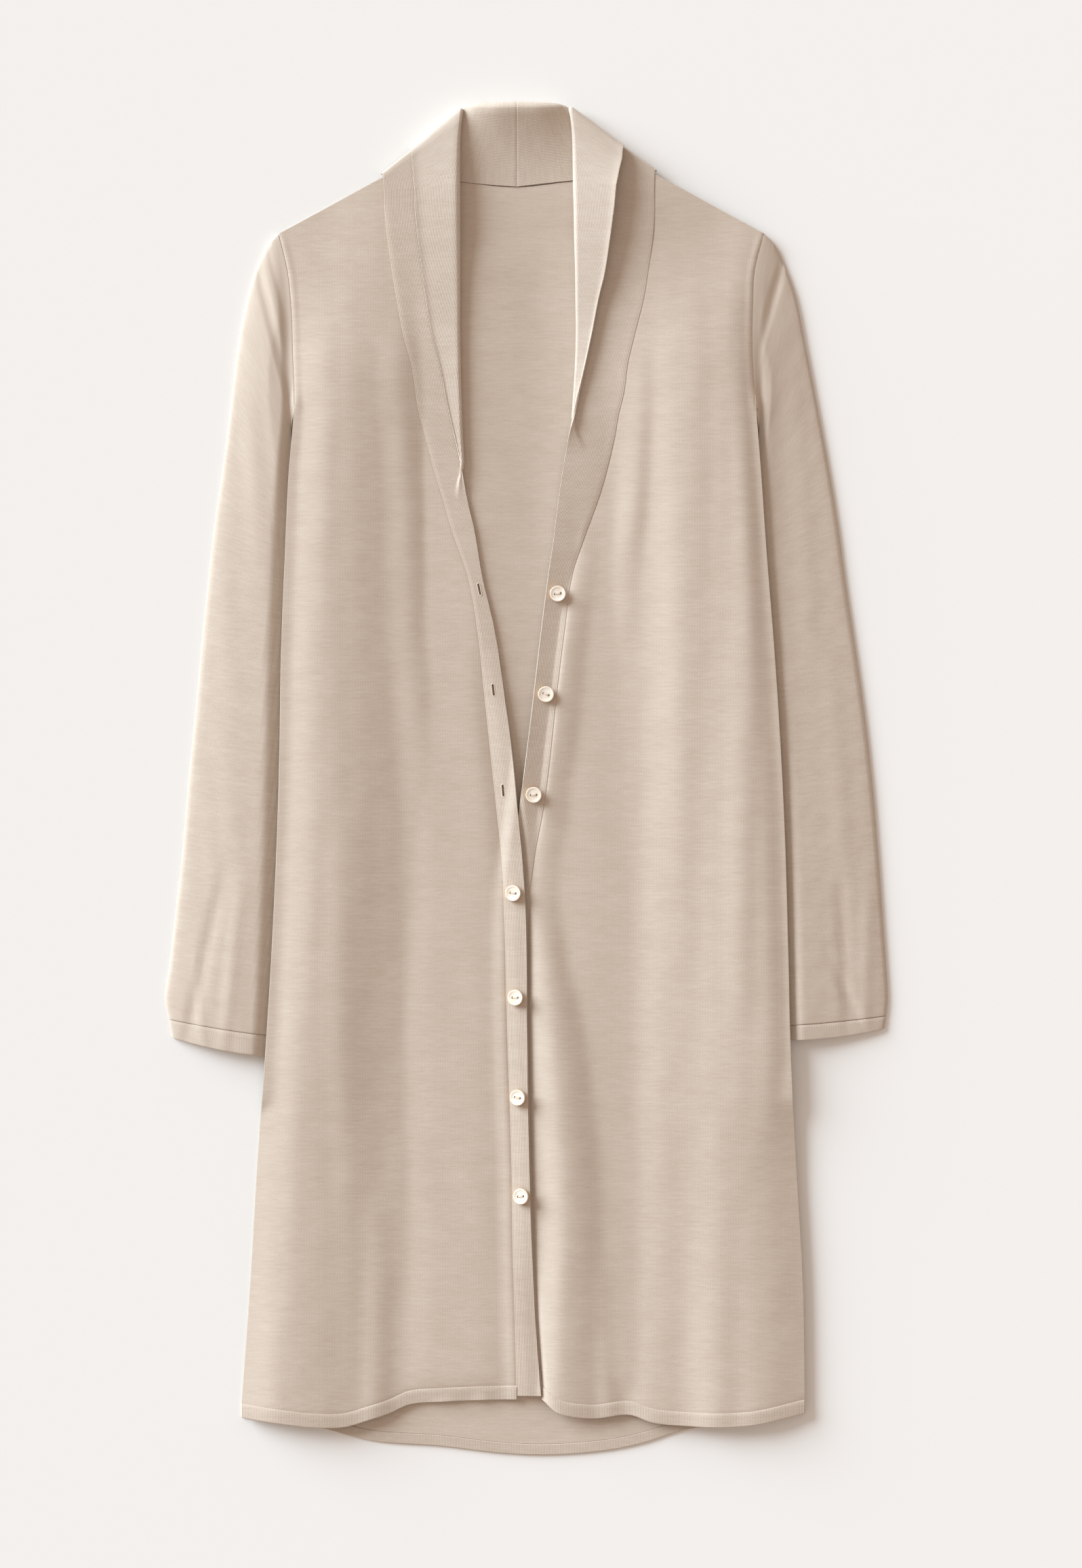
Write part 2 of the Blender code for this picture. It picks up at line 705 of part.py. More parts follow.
def foot_section(wide, folded, share):
    """Section where the lapel begins to turn over, at the foot of its fold."""
    folded = max(folded, FOOT_FOLD * share)
    shape = opened(collar_section(wide, wide - folded, mix(0.6, 1.5, share), 0.0), share)
    reach = max(a for a, n in shape)
    return [(a * wide / reach, n) for a, n in shape]


def seam_chord(lapel, y):
    """x of the band seam on the straight line between the front's own rows."""
    for high, low in zip(ROWS, ROWS[1:]):
        if low[1] <= y <= high[1]:
            q = (y - low[1]) / (high[1] - low[1])
            return mix(curve(lapel, low[1], 1), curve(lapel, high[1], 1), q)
    return curve(lapel, y, 1)


def collar_middle(side):
    """The collar's middle surface, a row of places for each station from hem to centre back."""
    lapel = LAPEL_RIGHT if side == 1 else LAPEL_LEFT
    neck = NECK_RIGHT if side == 1 else NECK_LEFT
    sign = 1.0 if side == 1 else -1.0
    rows = [-491.0]
    for k in range(len(ROWS) - 1, -1, -1):
        y = ROWS[k][1]
        low_down = k > ARMHOLE_ROWS + 14
        if y < 455.0 and not (low_down and (len(ROWS) - k) % 2 == 0):
            rows.append(y)
    grid = []
    fold_start = 252.0 if side == 1 else 292.0
    steps = [fold_start + step for step in FOOT_STEPS]
    rows += [y for y in steps if min(abs(y - row) for row in rows) > 4.0]
    rows.sort()
    for y in rows:
        seam = seam_chord(lapel, y)
        fold = curve(lapel, y, 2)
        free = curve(lapel, y, 3)
        inset = SEAM_GAP
        share = smooth(fold_start - FOOT_LENGTH, fold_start + 6.0, y)
        if share < 0.02:
            wide = sign * (free - seam)
            section = [(mix(inset, wide, v / 11.0), 0.0) for v in range(12)]
        elif share < 1.0:
            shape = foot_section(sign * (fold - seam), sign * (fold - free), share)
            section = [(max(a, inset), n) for a, n in shape]
        else:
            roll = mix(1.5, 4.6, smooth(fold_start, fold_start + 90.0, y))
            roll = mix(roll, 3.5, smooth(420.0, 460.0, y))
            shape = collar_section(sign * (fold - seam), sign * (free - seam), roll, 0.0)
            section = [(max(a, inset), n) for a, n in shape]
        line = []
        for a, n in section:
            x = seam + sign * a
            base = front_height(side, x, y) + 0.5 * BAND
            target = NECK_AXIS_Z + CREASE_RADIUS
            base = mix(base, max(base, target), smooth(425.0, 460.0, y))
            line.append(Vector((x, y, base + n)))
        grid.append(line)
    for sx, sy, fx, fy, fall, roll, turn in neck:
        along = Vector((fx - sx, fy - sy, 0.0))
        fold_w = along.length
        along.normalize()
        out = Vector((-along.y * sign, along.x * sign, 0.0))
        t = math.radians(turn)
        normal = Vector((0.0, 0.0, math.cos(t))) + out * math.sin(t)
        shape = collar_section(fold_w, fold_w - fall, roll, turn / 180.0)
        start = Vector((sx, sy, NECK_AXIS_Z))
        line = []
        for a, n in shape:
            reach = max(a, SEAM_GAP)
            if turn > 150.0:
                reach = max(a, SEAM_GAP + 0.1)
            line.append(start + along * reach + normal * (n + CREASE_RADIUS))
        grid.append(line)
    return grid


def offset_walls(grid, half):
    """Both faces of a wall of even thickness about a middle surface."""
    rows, cols = len(grid), len(grid[0])
    upper, lower = [], []
    for i in range(rows):
        up, down = [], []
        for j in range(cols):
            across = grid[i][min(j + 1, cols - 1)] - grid[i][max(j - 1, 0)]
            along = grid[min(i + 1, rows - 1)][j] - grid[max(i - 1, 0)][j]
            normal = across.cross(along).normalized()
            p = grid[i][j]
            up.append(place(*(p + normal * half)))
            down.append(place(*(p - normal * half)))
        upper.append(up)
        lower.append(down)
    return upper, lower


def cut_slits(collar):
    """Upright buttonholes through the lapping band."""
    bm = bmesh.new()
    spots = list(OPEN_SLITS) + [(x, y) for x, y, tilt, passed in BUTTONS if passed]
    for x, y in spots:
        z = front_height(1, x, y) + 0.5 * BAND
        made = bmesh.ops.create_cube(bm, size=1.0)
        size = Vector((SLIT_WIDTH * MM, SLIT_LENGTH * MM, 6.0 * MM))
        bmesh.ops.scale(bm, vec=size, verts=made["verts"])
        bmesh.ops.translate(bm, vec=place(x, y, z), verts=made["verts"])
    mesh = bpy.data.meshes.new("slit_cutter")
    bm.to_mesh(mesh)
    bm.free()
    cutter = bpy.data.objects.new("slit_cutter", mesh)
    bpy.context.collection.objects.link(cutter)
    cutter.hide_render = True
    cutter.display_type = "WIRE"
    cut = collar.modifiers.new("buttonholes", "BOOLEAN")
    cut.operation = "DIFFERENCE"
    cut.object = cutter


def build_collar(name, side, material):
    upper, lower = offset_walls(collar_middle(side), 0.5 * BAND)
    return wall(name, upper, lower, material)


def button_mesh(material):
    """A turned disc with a raised rim and two thread holes."""
    radius = 0.5 * BUTTON_D
    profile = [
        (0.0, 0.0),
        (radius - 1.1, 0.0),
        (radius, 0.9),
        (radius, BUTTON_T - 0.6),
        (radius - 0.9, BUTTON_T),
        (radius - 2.3, BUTTON_T - 0.7),
        (0.0, BUTTON_T - 0.8),
    ]
    count = 16
    bm = bmesh.new()
    rings = []
    for r, z in profile:
        if r == 0.0:
            rings.append([bm.verts.new((0.0, 0.0, z * MM))])
            continue
        turn = [2.0 * math.pi * k / count for k in range(count)]
        rings.append([bm.verts.new((r * math.cos(t) * MM, r * math.sin(t) * MM, z * MM))
                      for t in turn])
    for a, b in zip(rings, rings[1:]):
        for k in range(count):
            m = (k + 1) % count
            if len(a) == 1:
                bm.faces.new((a[0], b[k], b[m]))
            elif len(b) == 1:
                bm.faces.new((a[k], a[m], b[0]))
            else:
                bm.faces.new((a[k], a[m], b[m], b[k]))
    bmesh.ops.recalc_face_normals(bm, faces=bm.faces)
    mesh = bpy.data.meshes.new("shell_button")
    bm.to_mesh(mesh)
    bm.free()
    mesh.materials.append(material)
    return mesh


def hole_cutter():
    bm = bmesh.new()
    for side in (-0.5, 0.5):
        made = bmesh.ops.create_cone(
            bm, cap_ends=True, segments=6, radius1=0.5 * BUTTON_HOLE_D * MM,
            radius2=0.5 * BUTTON_HOLE_D * MM, depth=3.0 * BUTTON_T * MM)
        shift = Vector((side * BUTTON_HOLE_PITCH * MM, 0.0, 0.0))
        bmesh.ops.translate(bm, vec=shift, verts=made["verts"])
    mesh = bpy.data.meshes.new("hole_cutter")
    bm.to_mesh(mesh)
    bm.free()
    return mesh


def build_buttons(material):
    mesh = button_mesh(material)
    holes = hole_cutter()
    for number, (x, y, tilt, passed) in enumerate(BUTTONS, 1):
        side = 1 if passed else 2
        t = math.radians(tilt)
        spread = 0.5 * BUTTON_D - 1.0
        spots = [(x + spread * c, y + 0.7 * spread * s) for c in (-1, 0, 1) for s in (-1, 0, 1)]
        seat = max(front_height(side, px, py) + (px - x) * math.tan(t) for px, py in spots)
        z = seat + BAND + 0.45
        name = "button_" + str(number)
        obj = bpy.data.objects.new(name, mesh)
        cutter = bpy.data.objects.new(name + "_cutter", holes)
        for item in (obj, cutter):
            bpy.context.collection.objects.link(item)
            item.location = place(x, y, z)
            item.rotation_euler = (0.0, t, 0.0)
        cutter.hide_render = True
        cutter.display_type = "WIRE"
        cut = obj.modifiers.new("thread_holes", "BOOLEAN")
        cut.operation = "DIFFERENCE"
        cut.object = cutter


def main():
    clear_scene()
    knit = {}
    for name in ("back", "front_right", "front_left", "sleeve_right", "sleeve_left"):
        knit[name] = cloth("knit_" + name, (0.64, 0.53, 0.43), 0.95)
    rib = {}
    for name in ("collar_right", "collar_left", "cuff_right", "cuff_left",
                 "hem_back", "hem_front_right", "hem_front_left"):
        rib[name] = cloth("rib_" + name, (0.60, 0.50, 0.41), 0.95)
    shell = cloth("shell_button", (0.80, 0.74, 0.64), 0.25)
    build_back(knit["back"], rib["hem_back"])
    build_front("front_right", "hem_front_right", 1, knit["front_right"],
                rib["hem_front_right"])
    build_front("front_left", "hem_front_left", 2, knit["front_left"], rib["hem_front_left"])
    build_sleeve("sleeve_right", "cuff_right", 1, CUFF_RATIO_RIGHT, knit["sleeve_right"],
                 rib["cuff_right"])
    build_sleeve("sleeve_left", "cuff_left", 2, CUFF_RATIO_LEFT, knit["sleeve_left"],
                 rib["cuff_left"])
    lapping = build_collar("collar_right", 1, rib["collar_right"])
    build_collar("collar_left", 2, rib["collar_left"])
    cut_slits(lapping)
    build_buttons(shell)


main()
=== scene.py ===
"""Looks of the duster cardigan: knit shells, folds, seams, shell buttons and light."""
import math

import bpy
import numpy as np
from mathutils import Matrix, Vector


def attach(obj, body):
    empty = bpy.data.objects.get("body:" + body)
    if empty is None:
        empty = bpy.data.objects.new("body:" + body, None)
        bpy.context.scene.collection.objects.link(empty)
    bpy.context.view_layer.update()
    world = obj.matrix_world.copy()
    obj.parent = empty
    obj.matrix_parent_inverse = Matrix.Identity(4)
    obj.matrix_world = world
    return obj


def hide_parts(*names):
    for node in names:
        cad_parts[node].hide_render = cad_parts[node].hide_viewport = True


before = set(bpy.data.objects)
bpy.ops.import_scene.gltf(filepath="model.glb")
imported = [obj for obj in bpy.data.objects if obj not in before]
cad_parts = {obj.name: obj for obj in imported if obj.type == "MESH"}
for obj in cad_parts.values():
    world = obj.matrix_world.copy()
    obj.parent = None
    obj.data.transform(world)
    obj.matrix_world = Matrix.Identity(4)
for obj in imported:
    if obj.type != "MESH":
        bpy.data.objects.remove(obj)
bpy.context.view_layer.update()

MM = 0.001

# The wearer's sides, which are also the columns of their edges in BODY. The wearer's right
# is at the picture's left
RIGHT, LEFT = 1, 2

# Every length below is in millimetres. Cloth walls and the heights that they lie at
KNIT = 1.2
BAND = 1.6
HEM_WALL = 1.5
LAYER_GAP = 0.8
LAP_LIFT = 2.4
CUFF_END_Y = -224.0
NECK_LIFT = 2.0
FALL_GAP = 1.9
CREASE_RADIUS = 2.2
NECK_AXIS_Z = 5.3
SEAM_GAP = 0.08
HEM_FRONT = 11.0
HEM_BACK = 8.5
BUTTON_D = 12.8
BUTTON_T = 2.6
HOLE_D = 1.9
HOLE_PITCH = 4.2
SLIT_LENGTH = 9.5
SLIT_WIDTH = 1.5
CENTRE_X = -1.1

# The camera's height above the floor and the height of its view there, in metres
CAMERA_UP = 4.0
VIEW_TALL = 1.249

# Linear colours of the yarn
YARN_DARK = (0.722, 0.608, 0.495)
YARN_PALE = (0.783, 0.672, 0.560)
WHITE = (1.0, 1.0, 1.0)

# Corners of the panels, first the right one and then the left
SHOULDER_X = (-198.5, 188.0)
SHOULDER_Y = 433.5
NECK_END_X = (-115.0, 100.5)
NECK_END_Y = (478.5, 481.0)
UNDERARM_Y = 294.0
FRONT_END_Y = -497.0
BACK_END_Y = -505.0

# Rounded sizes of the flat pieces, for the spacing of their points
FRONT_WIDE, FRONT_LONG = 210.0, 980.0
BACK_WIDE, BACK_LONG = 430.0, 1000.0
SLEEVE_LONG = 650.0

# Sleeves pressed flat beneath the body, and the play above them
LEFT_PRESSED = 5.6
RIGHT_PRESSED = 4.8
HIDDEN_PRESSED = 2.8
SLEEVE_CLEAR = 1.4

# y, left edge x, right edge x: armholes above the underarm, side seams below
BODY = [
    (433.5, -198.5, 188.0),
    (404.0, -191.5, 180.5),
    (377.0, -188.5, 179.0),
    (339.5, -187.0, 178.5),
    (294.0, -186.0, 181.5),
    (242.0, -190.0, 185.5),
    (177.5, -193.0, 190.0),
    (102.0, -196.0, 196.0),
    (15.5, -197.5, 201.5),
    (-49.5, -199.5, 204.5),
    (-136.0, -203.5, 207.0),
    (-217.0, -208.5, 209.0),
    (-298.0, -214.5, 213.0),
    (-406.0, -221.0, 219.0),
    (-509.0, -228.5, 220.5),
]

# y, seam x, fold x, free edge x of the band on the wearer's right, which laps on top
LAPEL_RIGHT = [
    (478.5, -115.0, -54.5, -91.2),
    (444.0, -113.0, -54.5, -89.0),
    (416.0, -109.5, -54.5, -86.0),
    (387.0, -105.0, -54.5, -82.0),
    (355.0, -99.3, -54.5, -77.0),
    (327.0, -92.0, -54.0, -70.0),
    (292.5, -86.8, -53.0, -63.0),
    (266.5, -80.0, -52.0, -57.0),
    (246.0, -74.5, -50.5, -52.5),
    (221.5, -67.0, -48.0, -48.0),
    (197.5, -60.0, -42.5, -42.5),
    (161.0, -47.5, -36.3, -36.3),
    (118.5, -39.8, -26.5, -26.5),
    (69.0, -34.5, -19.0, -19.0),
    (17.0, -29.0, -12.0, -12.0),
    (-25.5, -24.5, -8.0, -8.0),
    (-69.0, -19.8, -4.0, -4.0),
    (-110.5, -18.3, -1.5, -1.5),
    (-206.0, -15.8, -0.5, -0.5),
    (-299.5, -12.8, 1.0, 1.0),
    (-379.0, -11.5, 3.5, 3.5),
    (-430.5, -10.0, 6.0, 6.0),
    (-490.0, -8.5, 10.5, 10.5),
]

# y, seam x, fold x, free edge x of the band on the wearer's left, which lies under
LAPEL_LEFT = [
    (481.0, 100.5, 36.3, 72.0),
    (452.5, 100.5, 37.2, 68.5),
    (433.5, 99.5, 37.5, 66.0),
    (400.5, 95.0, 38.4, 61.0),
    (382.0, 92.0, 38.6, 56.5),
    (356.0, 85.5, 39.0, 51.5),
    (330.0, 79.3, 38.3, 46.0),
    (308.0, 76.5, 37.0, 41.0),
    (288.5, 71.8, 35.5, 36.5),
    (272.0, 69.0, 32.5, 32.5),
    (230.5, 58.5, 25.5, 25.5),
    (187.0, 43.0, 20.0, 20.0),
    (163.5, 35.5, 16.5, 16.5),
    (117.0, 29.0, 10.5, 10.5),
    (65.5, 22.7, 4.5, 4.5),
    (12.0, 17.0, -2.0, -2.0),
    (-25.5, 12.0, -7.0, -7.0),
    (-62.5, 5.0, -12.0, -12.0),
    (-96.5, 1.0, -15.5, -15.5),
    (-152.0, 0.2, -16.0, -16.0),
    (-247.5, 0.7, -14.0, -14.0),
    (-299.5, 2.2, -11.5, -11.5),
    (-379.0, 4.7, -10.0, -10.0),
    (-430.5, 7.2, -8.5, -8.5),
    (-490.0, 11.7, -7.0, -7.0),
]

# seam x, seam y, fold x, fold y, fall width, roll radius, turn about the neck in degrees
NECK_RIGHT = [
    (-114.2, 466.0, -54.5, 472.0, 36.0, 3.4, 0.0),
    (-114.6, 471.0, -54.5, 489.0, 40.0, 3.0, 0.0),
    (-114.9, 475.5, -54.3, 508.0, 44.0, 2.6, 0.0),
    (-115.0, 478.3, -53.2, 522.0, 48.0, 2.3, 0.0),
    (-115.0, 480.0, -51.5, 530.0, 51.0, 2.2, 18.0),
    (-115.0, 480.0, -51.5, 530.0, 51.0, 2.2, 60.0),
    (-115.0, 480.0, -51.5, 530.0, 51.0, 2.2, 120.0),
    (-115.0, 480.0, -51.0, 531.0, 51.0, 2.2, 162.0),
    (-101.0, 478.2, -49.5, 533.5, 53.0, 2.2, 180.0),
    (-80.0, 477.0, -47.0, 535.0, 55.5, 2.6, 180.0),
    (-57.0, 475.3, -40.0, 536.3, 58.0, 4.0, 180.0),
    (-33.0, 472.8, -25.0, 537.2, 60.0, 5.4, 180.0),
    (-9.2, 471.0, -9.2, 537.6, 61.0, 5.6, 180.0),
]

NECK_LEFT = [
    (100.5, 467.5, 36.6, 474.0, 34.0, 3.4, 0.0),
    (100.6, 472.5, 36.4, 491.0, 39.0, 3.0, 0.0),
    (100.7, 477.0, 36.0, 509.0, 44.0, 2.6, 0.0),
    (100.8, 480.5, 34.8, 523.0, 48.0, 2.3, 0.0),
    (100.8, 482.4, 32.6, 531.0, 52.0, 2.2, 18.0),
    (100.8, 482.4, 32.6, 531.0, 52.0, 2.2, 60.0),
    (100.8, 482.4, 32.6, 531.0, 52.0, 2.2, 120.0),
    (100.8, 482.4, 32.0, 532.0, 52.0, 2.2, 162.0),
    (87.0, 480.6, 30.5, 534.0, 54.0, 2.2, 180.0),
    (66.0, 479.0, 27.0, 535.5, 56.0, 2.6, 180.0),
    (42.0, 476.6, 21.0, 536.6, 58.0, 4.0, 180.0),
    (16.0, 473.9, 7.0, 537.3, 60.0, 5.4, 180.0),
    (-8.8, 471.0, -8.8, 537.6, 61.0, 5.6, 180.0),
]

# x, y along the back neck seam
NECK_SEAM = [
    (-115.0, 478.5),
    (-80.0, 476.5),
    (-54.0, 474.8),
    (-9.0, 470.7),
    (36.0, 475.6),
    (66.0, 478.6),
    (100.5, 481.0),
]

# x, y along the bottom edge of the two fronts, and of the longer back
HEM_FRONTS = [
    (-228.5, -508.0),
    (-201.5, -512.0),
    (-165.5, -516.0),
    (-145.0, -515.5),
    (-126.0, -510.0),
    (-109.0, -504.5),
    (-95.5, -498.5),
    (-69.0, -496.0),
    (-9.0, -494.0),
    (11.5, -494.0),
    (22.0, -503.5),
    (33.0, -507.0),
    (52.0, -509.0),
    (82.5, -506.5),
    (98.0, -512.0),
    (118.5, -514.5),
    (175.0, -514.5),
    (220.5, -505.0),
]

HEM_BACKS = [
    (-228.5, -508.5),
    (-165.5, -517.0),
    (-126.0, -527.0),
    (-69.0, -531.5),
    (-22.0, -537.0),
    (14.5, -538.5),
    (62.0, -535.0),
    (90.0, -529.5),
    (118.5, -520.5),
    (137.5, -516.5),
    (175.0, -515.0),
    (220.5, -505.5),
]

# outer x, outer y, inner x, inner y at stations from the armhole to the cuff's edge
SLEEVE_RIGHT = [
    (-198.9, 433.5, -186.4, 294.0),
    (-207.0, 424.5, -188.0, 285.0),
    (-215.0, 408.5, -188.3, 273.0),
    (-223.0, 382.5, -186.5, 259.0),
    (-230.5, 345.0, -181.0, 241.0),
    (-236.5, 296.0, -170.0, 217.0),
    (-242.0, 253.0, -152.0, 190.0),
    (-249.0, 204.5, -134.0, 160.0),
    (-254.5, 156.0, -129.0, 128.0),
    (-260.0, 102.0, -133.0, 85.0),
    (-265.0, 48.0, -141.0, 31.0),
    (-270.5, -6.0, -150.5, -22.0),
    (-274.5, -55.0, -161.0, -70.0),
    (-280.0, -103.5, -172.0, -118.0),
    (-285.0, -146.5, -183.0, -161.0),
    (-288.8, -173.5, -188.0, -186.0),
    (-286.0, -191.5, -190.0, -206.0),
    (-283.5, -206.0, -191.5, -222.0),
]

SLEEVE_LEFT = [
    (188.4, 433.5, 181.9, 294.0),
    (197.0, 424.5, 183.4, 285.0),
    (204.5, 408.5, 183.8, 273.0),
    (213.5, 382.5, 182.2, 259.0),
    (221.0, 345.0, 177.0, 241.0),
    (230.5, 296.0, 166.0, 217.0),
    (238.5, 253.0, 148.0, 190.0),
    (246.5, 204.5, 130.0, 160.0),
    (253.0, 156.0, 125.0, 129.0),
    (261.0, 102.0, 129.0, 86.0),
    (268.5, 48.0, 137.0, 33.0),
    (274.5, -6.0, 147.5, -20.0),
    (278.5, -55.0, 158.5, -66.0),
    (282.0, -103.5, 169.5, -110.0),
    (285.0, -146.5, 180.5, -150.0),
    (286.5, -172.0, 187.0, -178.0),
    (285.5, -188.0, 190.5, -196.0),
    (284.0, -199.0, 192.0, -208.0),
]

# Drag lines from the armhole and folds above the cuff: x, y of one end and of the other,
# height, and half width on each side
CREASES_RIGHT = [
    (-214.0, 402.0, -190.0, 310.0, -1.1, 6.0, 7.0),
    (-206.0, 420.0, -191.0, 365.0, -0.8, 4.0, 5.0),
    (-224.0, 330.0, -214.0, 180.0, 0.45, 12.0, 14.0),
    (-240.0, 160.0, -236.0, -40.0, 0.4, 12.0, 16.0),
    (-250.0, -110.0, -267.0, -186.0, -0.9, 7.0, 9.0),
    (-232.0, -116.0, -240.0, -195.0, 0.75, 8.0, 8.0),
    (-262.0, -170.0, -259.0, -200.0, 0.6, 5.0, 5.0),
]

CREASES_LEFT = [
    (197.0, 389.0, 181.0, 336.0, -1.1, 6.0, 6.0),
    (184.0, 426.0, 181.0, 372.0, -0.7, 4.0, 4.0),
    (212.0, 300.0, 224.0, 120.0, 0.45, 14.0, 12.0),
    (240.0, 80.0, 252.0, -60.0, 0.4, 14.0, 12.0),
    (250.0, -108.0, 253.0, -170.0, -0.9, 7.0, 7.0),
    (253.0, -170.0, 262.0, -190.0, -0.7, 6.0, 6.0),
    (270.0, -120.0, 268.0, -185.0, 0.6, 8.0, 8.0),
]

# x, y, tilt in degrees about Y, and 1 where the button is passed through its hole
BUTTONS = [
    (24.0, 147.0, -4.0, 0),
    (14.6, 67.0, -4.0, 0),
    (4.8, -13.0, -4.0, 0),
    (-11.2, -91.0, -17.0, 1),
    (-9.4, -174.0, -20.0, 1),
    (-7.6, -253.5, -20.0, 1),
    (-5.0, -332.0, -20.0, 1),
]

# How far each button is turned about itself, in degrees
BUTTON_TURNS = [8.0, -20.0, 4.0, -6.0, 0.0, -10.0, 6.0]

# x, y and lean in degrees of each buttonhole, the three open ones first
BUTTONHOLES = [
    (-38.5, 150.5, 12.0),
    (-27.4, 70.5, 7.0),
    (-19.6, -9.5, 5.0),
    (-11.2, -91.0, 2.0),
    (-9.4, -174.0, 1.0),
    (-7.6, -253.5, 0.0),
    (-5.0, -332.0, 0.0),
]

# Long folds of the fronts. Rows: y, crest x, height, half width on its left and on its right
FRONT_FOLDS = [
    [
        (330.0, -104.0, 1.2, 20.0, 22.0),
        (215.0, -94.0, 2.0, 24.0, 22.0),
        (134.0, -92.0, 2.2, 26.0, 26.0),
        (53.0, -84.0, 2.4, 28.0, 28.0),
        (-28.0, -74.0, 1.8, 30.0, 28.0),
        (-109.0, -66.0, 1.1, 36.0, 32.0),
        (-190.0, -60.0, 0.7, 40.0, 30.0),
        (-271.0, -54.0, 0.5, 44.0, 28.0),
        (-352.0, -54.0, 0.5, 44.0, 26.0),
        (-433.0, -60.0, 1.0, 30.0, 22.0),
        (-505.0, -64.0, 1.4, 20.0, 18.0),
    ],
    [
        (-60.0, -142.0, 0.6, 22.0, 24.0),
        (-190.0, -148.0, 0.8, 22.0, 26.0),
        (-310.0, -140.0, 0.6, 22.0, 24.0),
    ],
    [
        (-380.0, -118.0, 0.8, 16.0, 18.0),
        (-505.0, -122.0, 1.6, 16.0, 18.0),
    ],
    [
        (-420.0, -36.0, 0.8, 10.0, 12.0),
        (-500.0, -37.0, 1.8, 10.0, 13.0),
    ],
    [
        (178.0, 44.0, 1.6, 12.0, 20.0),
        (134.0, 35.0, 3.4, 12.0, 26.0),
        (53.0, 25.0, 3.6, 11.0, 30.0),
        (-28.0, 15.0, 2.6, 10.0, 30.0),
        (-80.0, 10.0, 1.8, 10.0, 26.0),
        (-109.0, 10.0, 2.6, 14.0, 24.0),
        (-150.0, 15.0, 4.4, 22.0, 28.0),
        (-190.0, 20.0, 5.6, 26.0, 36.0),
        (-271.0, 27.0, 6.2, 30.0, 42.0),
        (-352.0, 31.0, 6.0, 30.0, 46.0),
        (-433.0, 27.0, 5.2, 24.0, 54.0),
        (-510.0, 24.0, 4.2, 20.0, 50.0),
    ],
    [
        (340.0, 124.0, 0.6, 28.0, 26.0),
        (215.0, 122.0, 1.4, 30.0, 26.0),
        (53.0, 120.0, 1.7, 30.0, 28.0),
        (-109.0, 112.0, 1.5, 30.0, 30.0),
        (-271.0, 106.0, 1.1, 26.0, 28.0),
        (-400.0, 102.0, 1.3, 26.0, 30.0),
        (-505.0, 98.0, 1.6, 22.0, 26.0),
    ],
    [
        (300.0, 88.0, 0.8, 20.0, 14.0),
        (215.0, 84.0, 1.6, 18.0, 14.0),
        (150.0, 78.0, 0.6, 16.0, 14.0),
    ],
    [
        (300.0, 176.0, 0.5, 18.0, 14.0),
        (100.0, 174.0, 1.0, 20.0, 14.0),
        (-28.0, 172.0, 1.1, 20.0, 14.0),
        (-150.0, 170.0, 0.8, 20.0, 14.0),
    ],
    [
        (-300.0, 154.0, 0.5, 24.0, 22.0),
        (-400.0, 150.0, 1.0, 24.0, 24.0),
        (-505.0, 148.0, 1.3, 20.0, 22.0),
    ],
    [
        (-430.0, 62.0, 0.6, 12.0, 12.0),
        (-505.0, 64.0, 1.6, 12.0, 14.0),
    ],
]


def smooth(low, high, value):
    """Eases from 0 at low to 1 at high."""
    q = np.clip((np.asarray(value, float) - low) / (high - low), 0.0, 1.0)
    return q * q * (3.0 - 2.0 * q)


def mix(a, b, q):
    """From a at q = 0 to b at q = 1."""
    return a + (b - a) * q


def curve(table, value, column=1):
    """Cubic through one column of a table, against its first column."""
    rows = np.array(sorted(table))
    x, y = rows[:, 0], rows[:, column]
    step = np.diff(y) / np.diff(x)
    slope = np.concatenate([step[:1], 0.5 * (step[1:] + step[:-1]), step[-1:]])
    v = np.clip(value, x[0], x[-1])
    i = np.clip(np.searchsorted(x, v, side="right") - 1, 0, len(x) - 2)
    h = x[i + 1] - x[i]
    q = (v - x[i]) / h
    a = 2 * q**3 - 3 * q**2 + 1
    b = q**3 - 2 * q**2 + q
    c = -2 * q**3 + 3 * q**2
    d = q**3 - q**2
    return a * y[i] + b * h * slope[i] + c * y[i + 1] + d * h * slope[i + 1]


def station(table, u):
    """Rows of the table at places u from 0 to 1, by a cubic through its rows."""
    rows = np.array(table)
    last = len(rows) - 1
    at = np.clip(u, 0.0, 1.0) * last
    i = np.minimum(at.astype(int), last - 1)
    q = (at - i)[:, None]
    p0, p1 = rows[np.maximum(i - 1, 0)], rows[i]
    p2, p3 = rows[i + 1], rows[np.minimum(i + 2, last)]
    bend = 2 * p0 - 5 * p1 + 4 * p2 - p3
    turn = 3 * p1 - p0 - 3 * p2 + p3
    return 0.5 * (2 * p1 + (p2 - p0) * q + bend * q * q + turn * q**3)


def bump(distance, half_before, half_after):
    """A round rise to 1 at distance 0, its two sides as wide as the halves say."""
    half = np.where(distance < 0.0, half_before, half_after)
    return np.cos(0.5 * math.pi * np.clip(np.abs(distance) / half, 0.0, 1.0)) ** 2


def ridge(x, y, crease):
    """A straight crease that fades past both its ends."""
    x0, y0, x1, y1, height, half_left, half_right = crease
    run_x, run_y = x1 - x0, y1 - y0
    length = math.hypot(run_x, run_y)
    along = ((x - x0) * run_x + (y - y0) * run_y) / length
    aside = ((x - x0) * run_y - (y - y0) * run_x) / length
    past = np.maximum(0.0, np.maximum(-along, along - length))
    return height * bump(-aside, half_left, half_right) * (1.0 - smooth(0.0, 55.0, past))


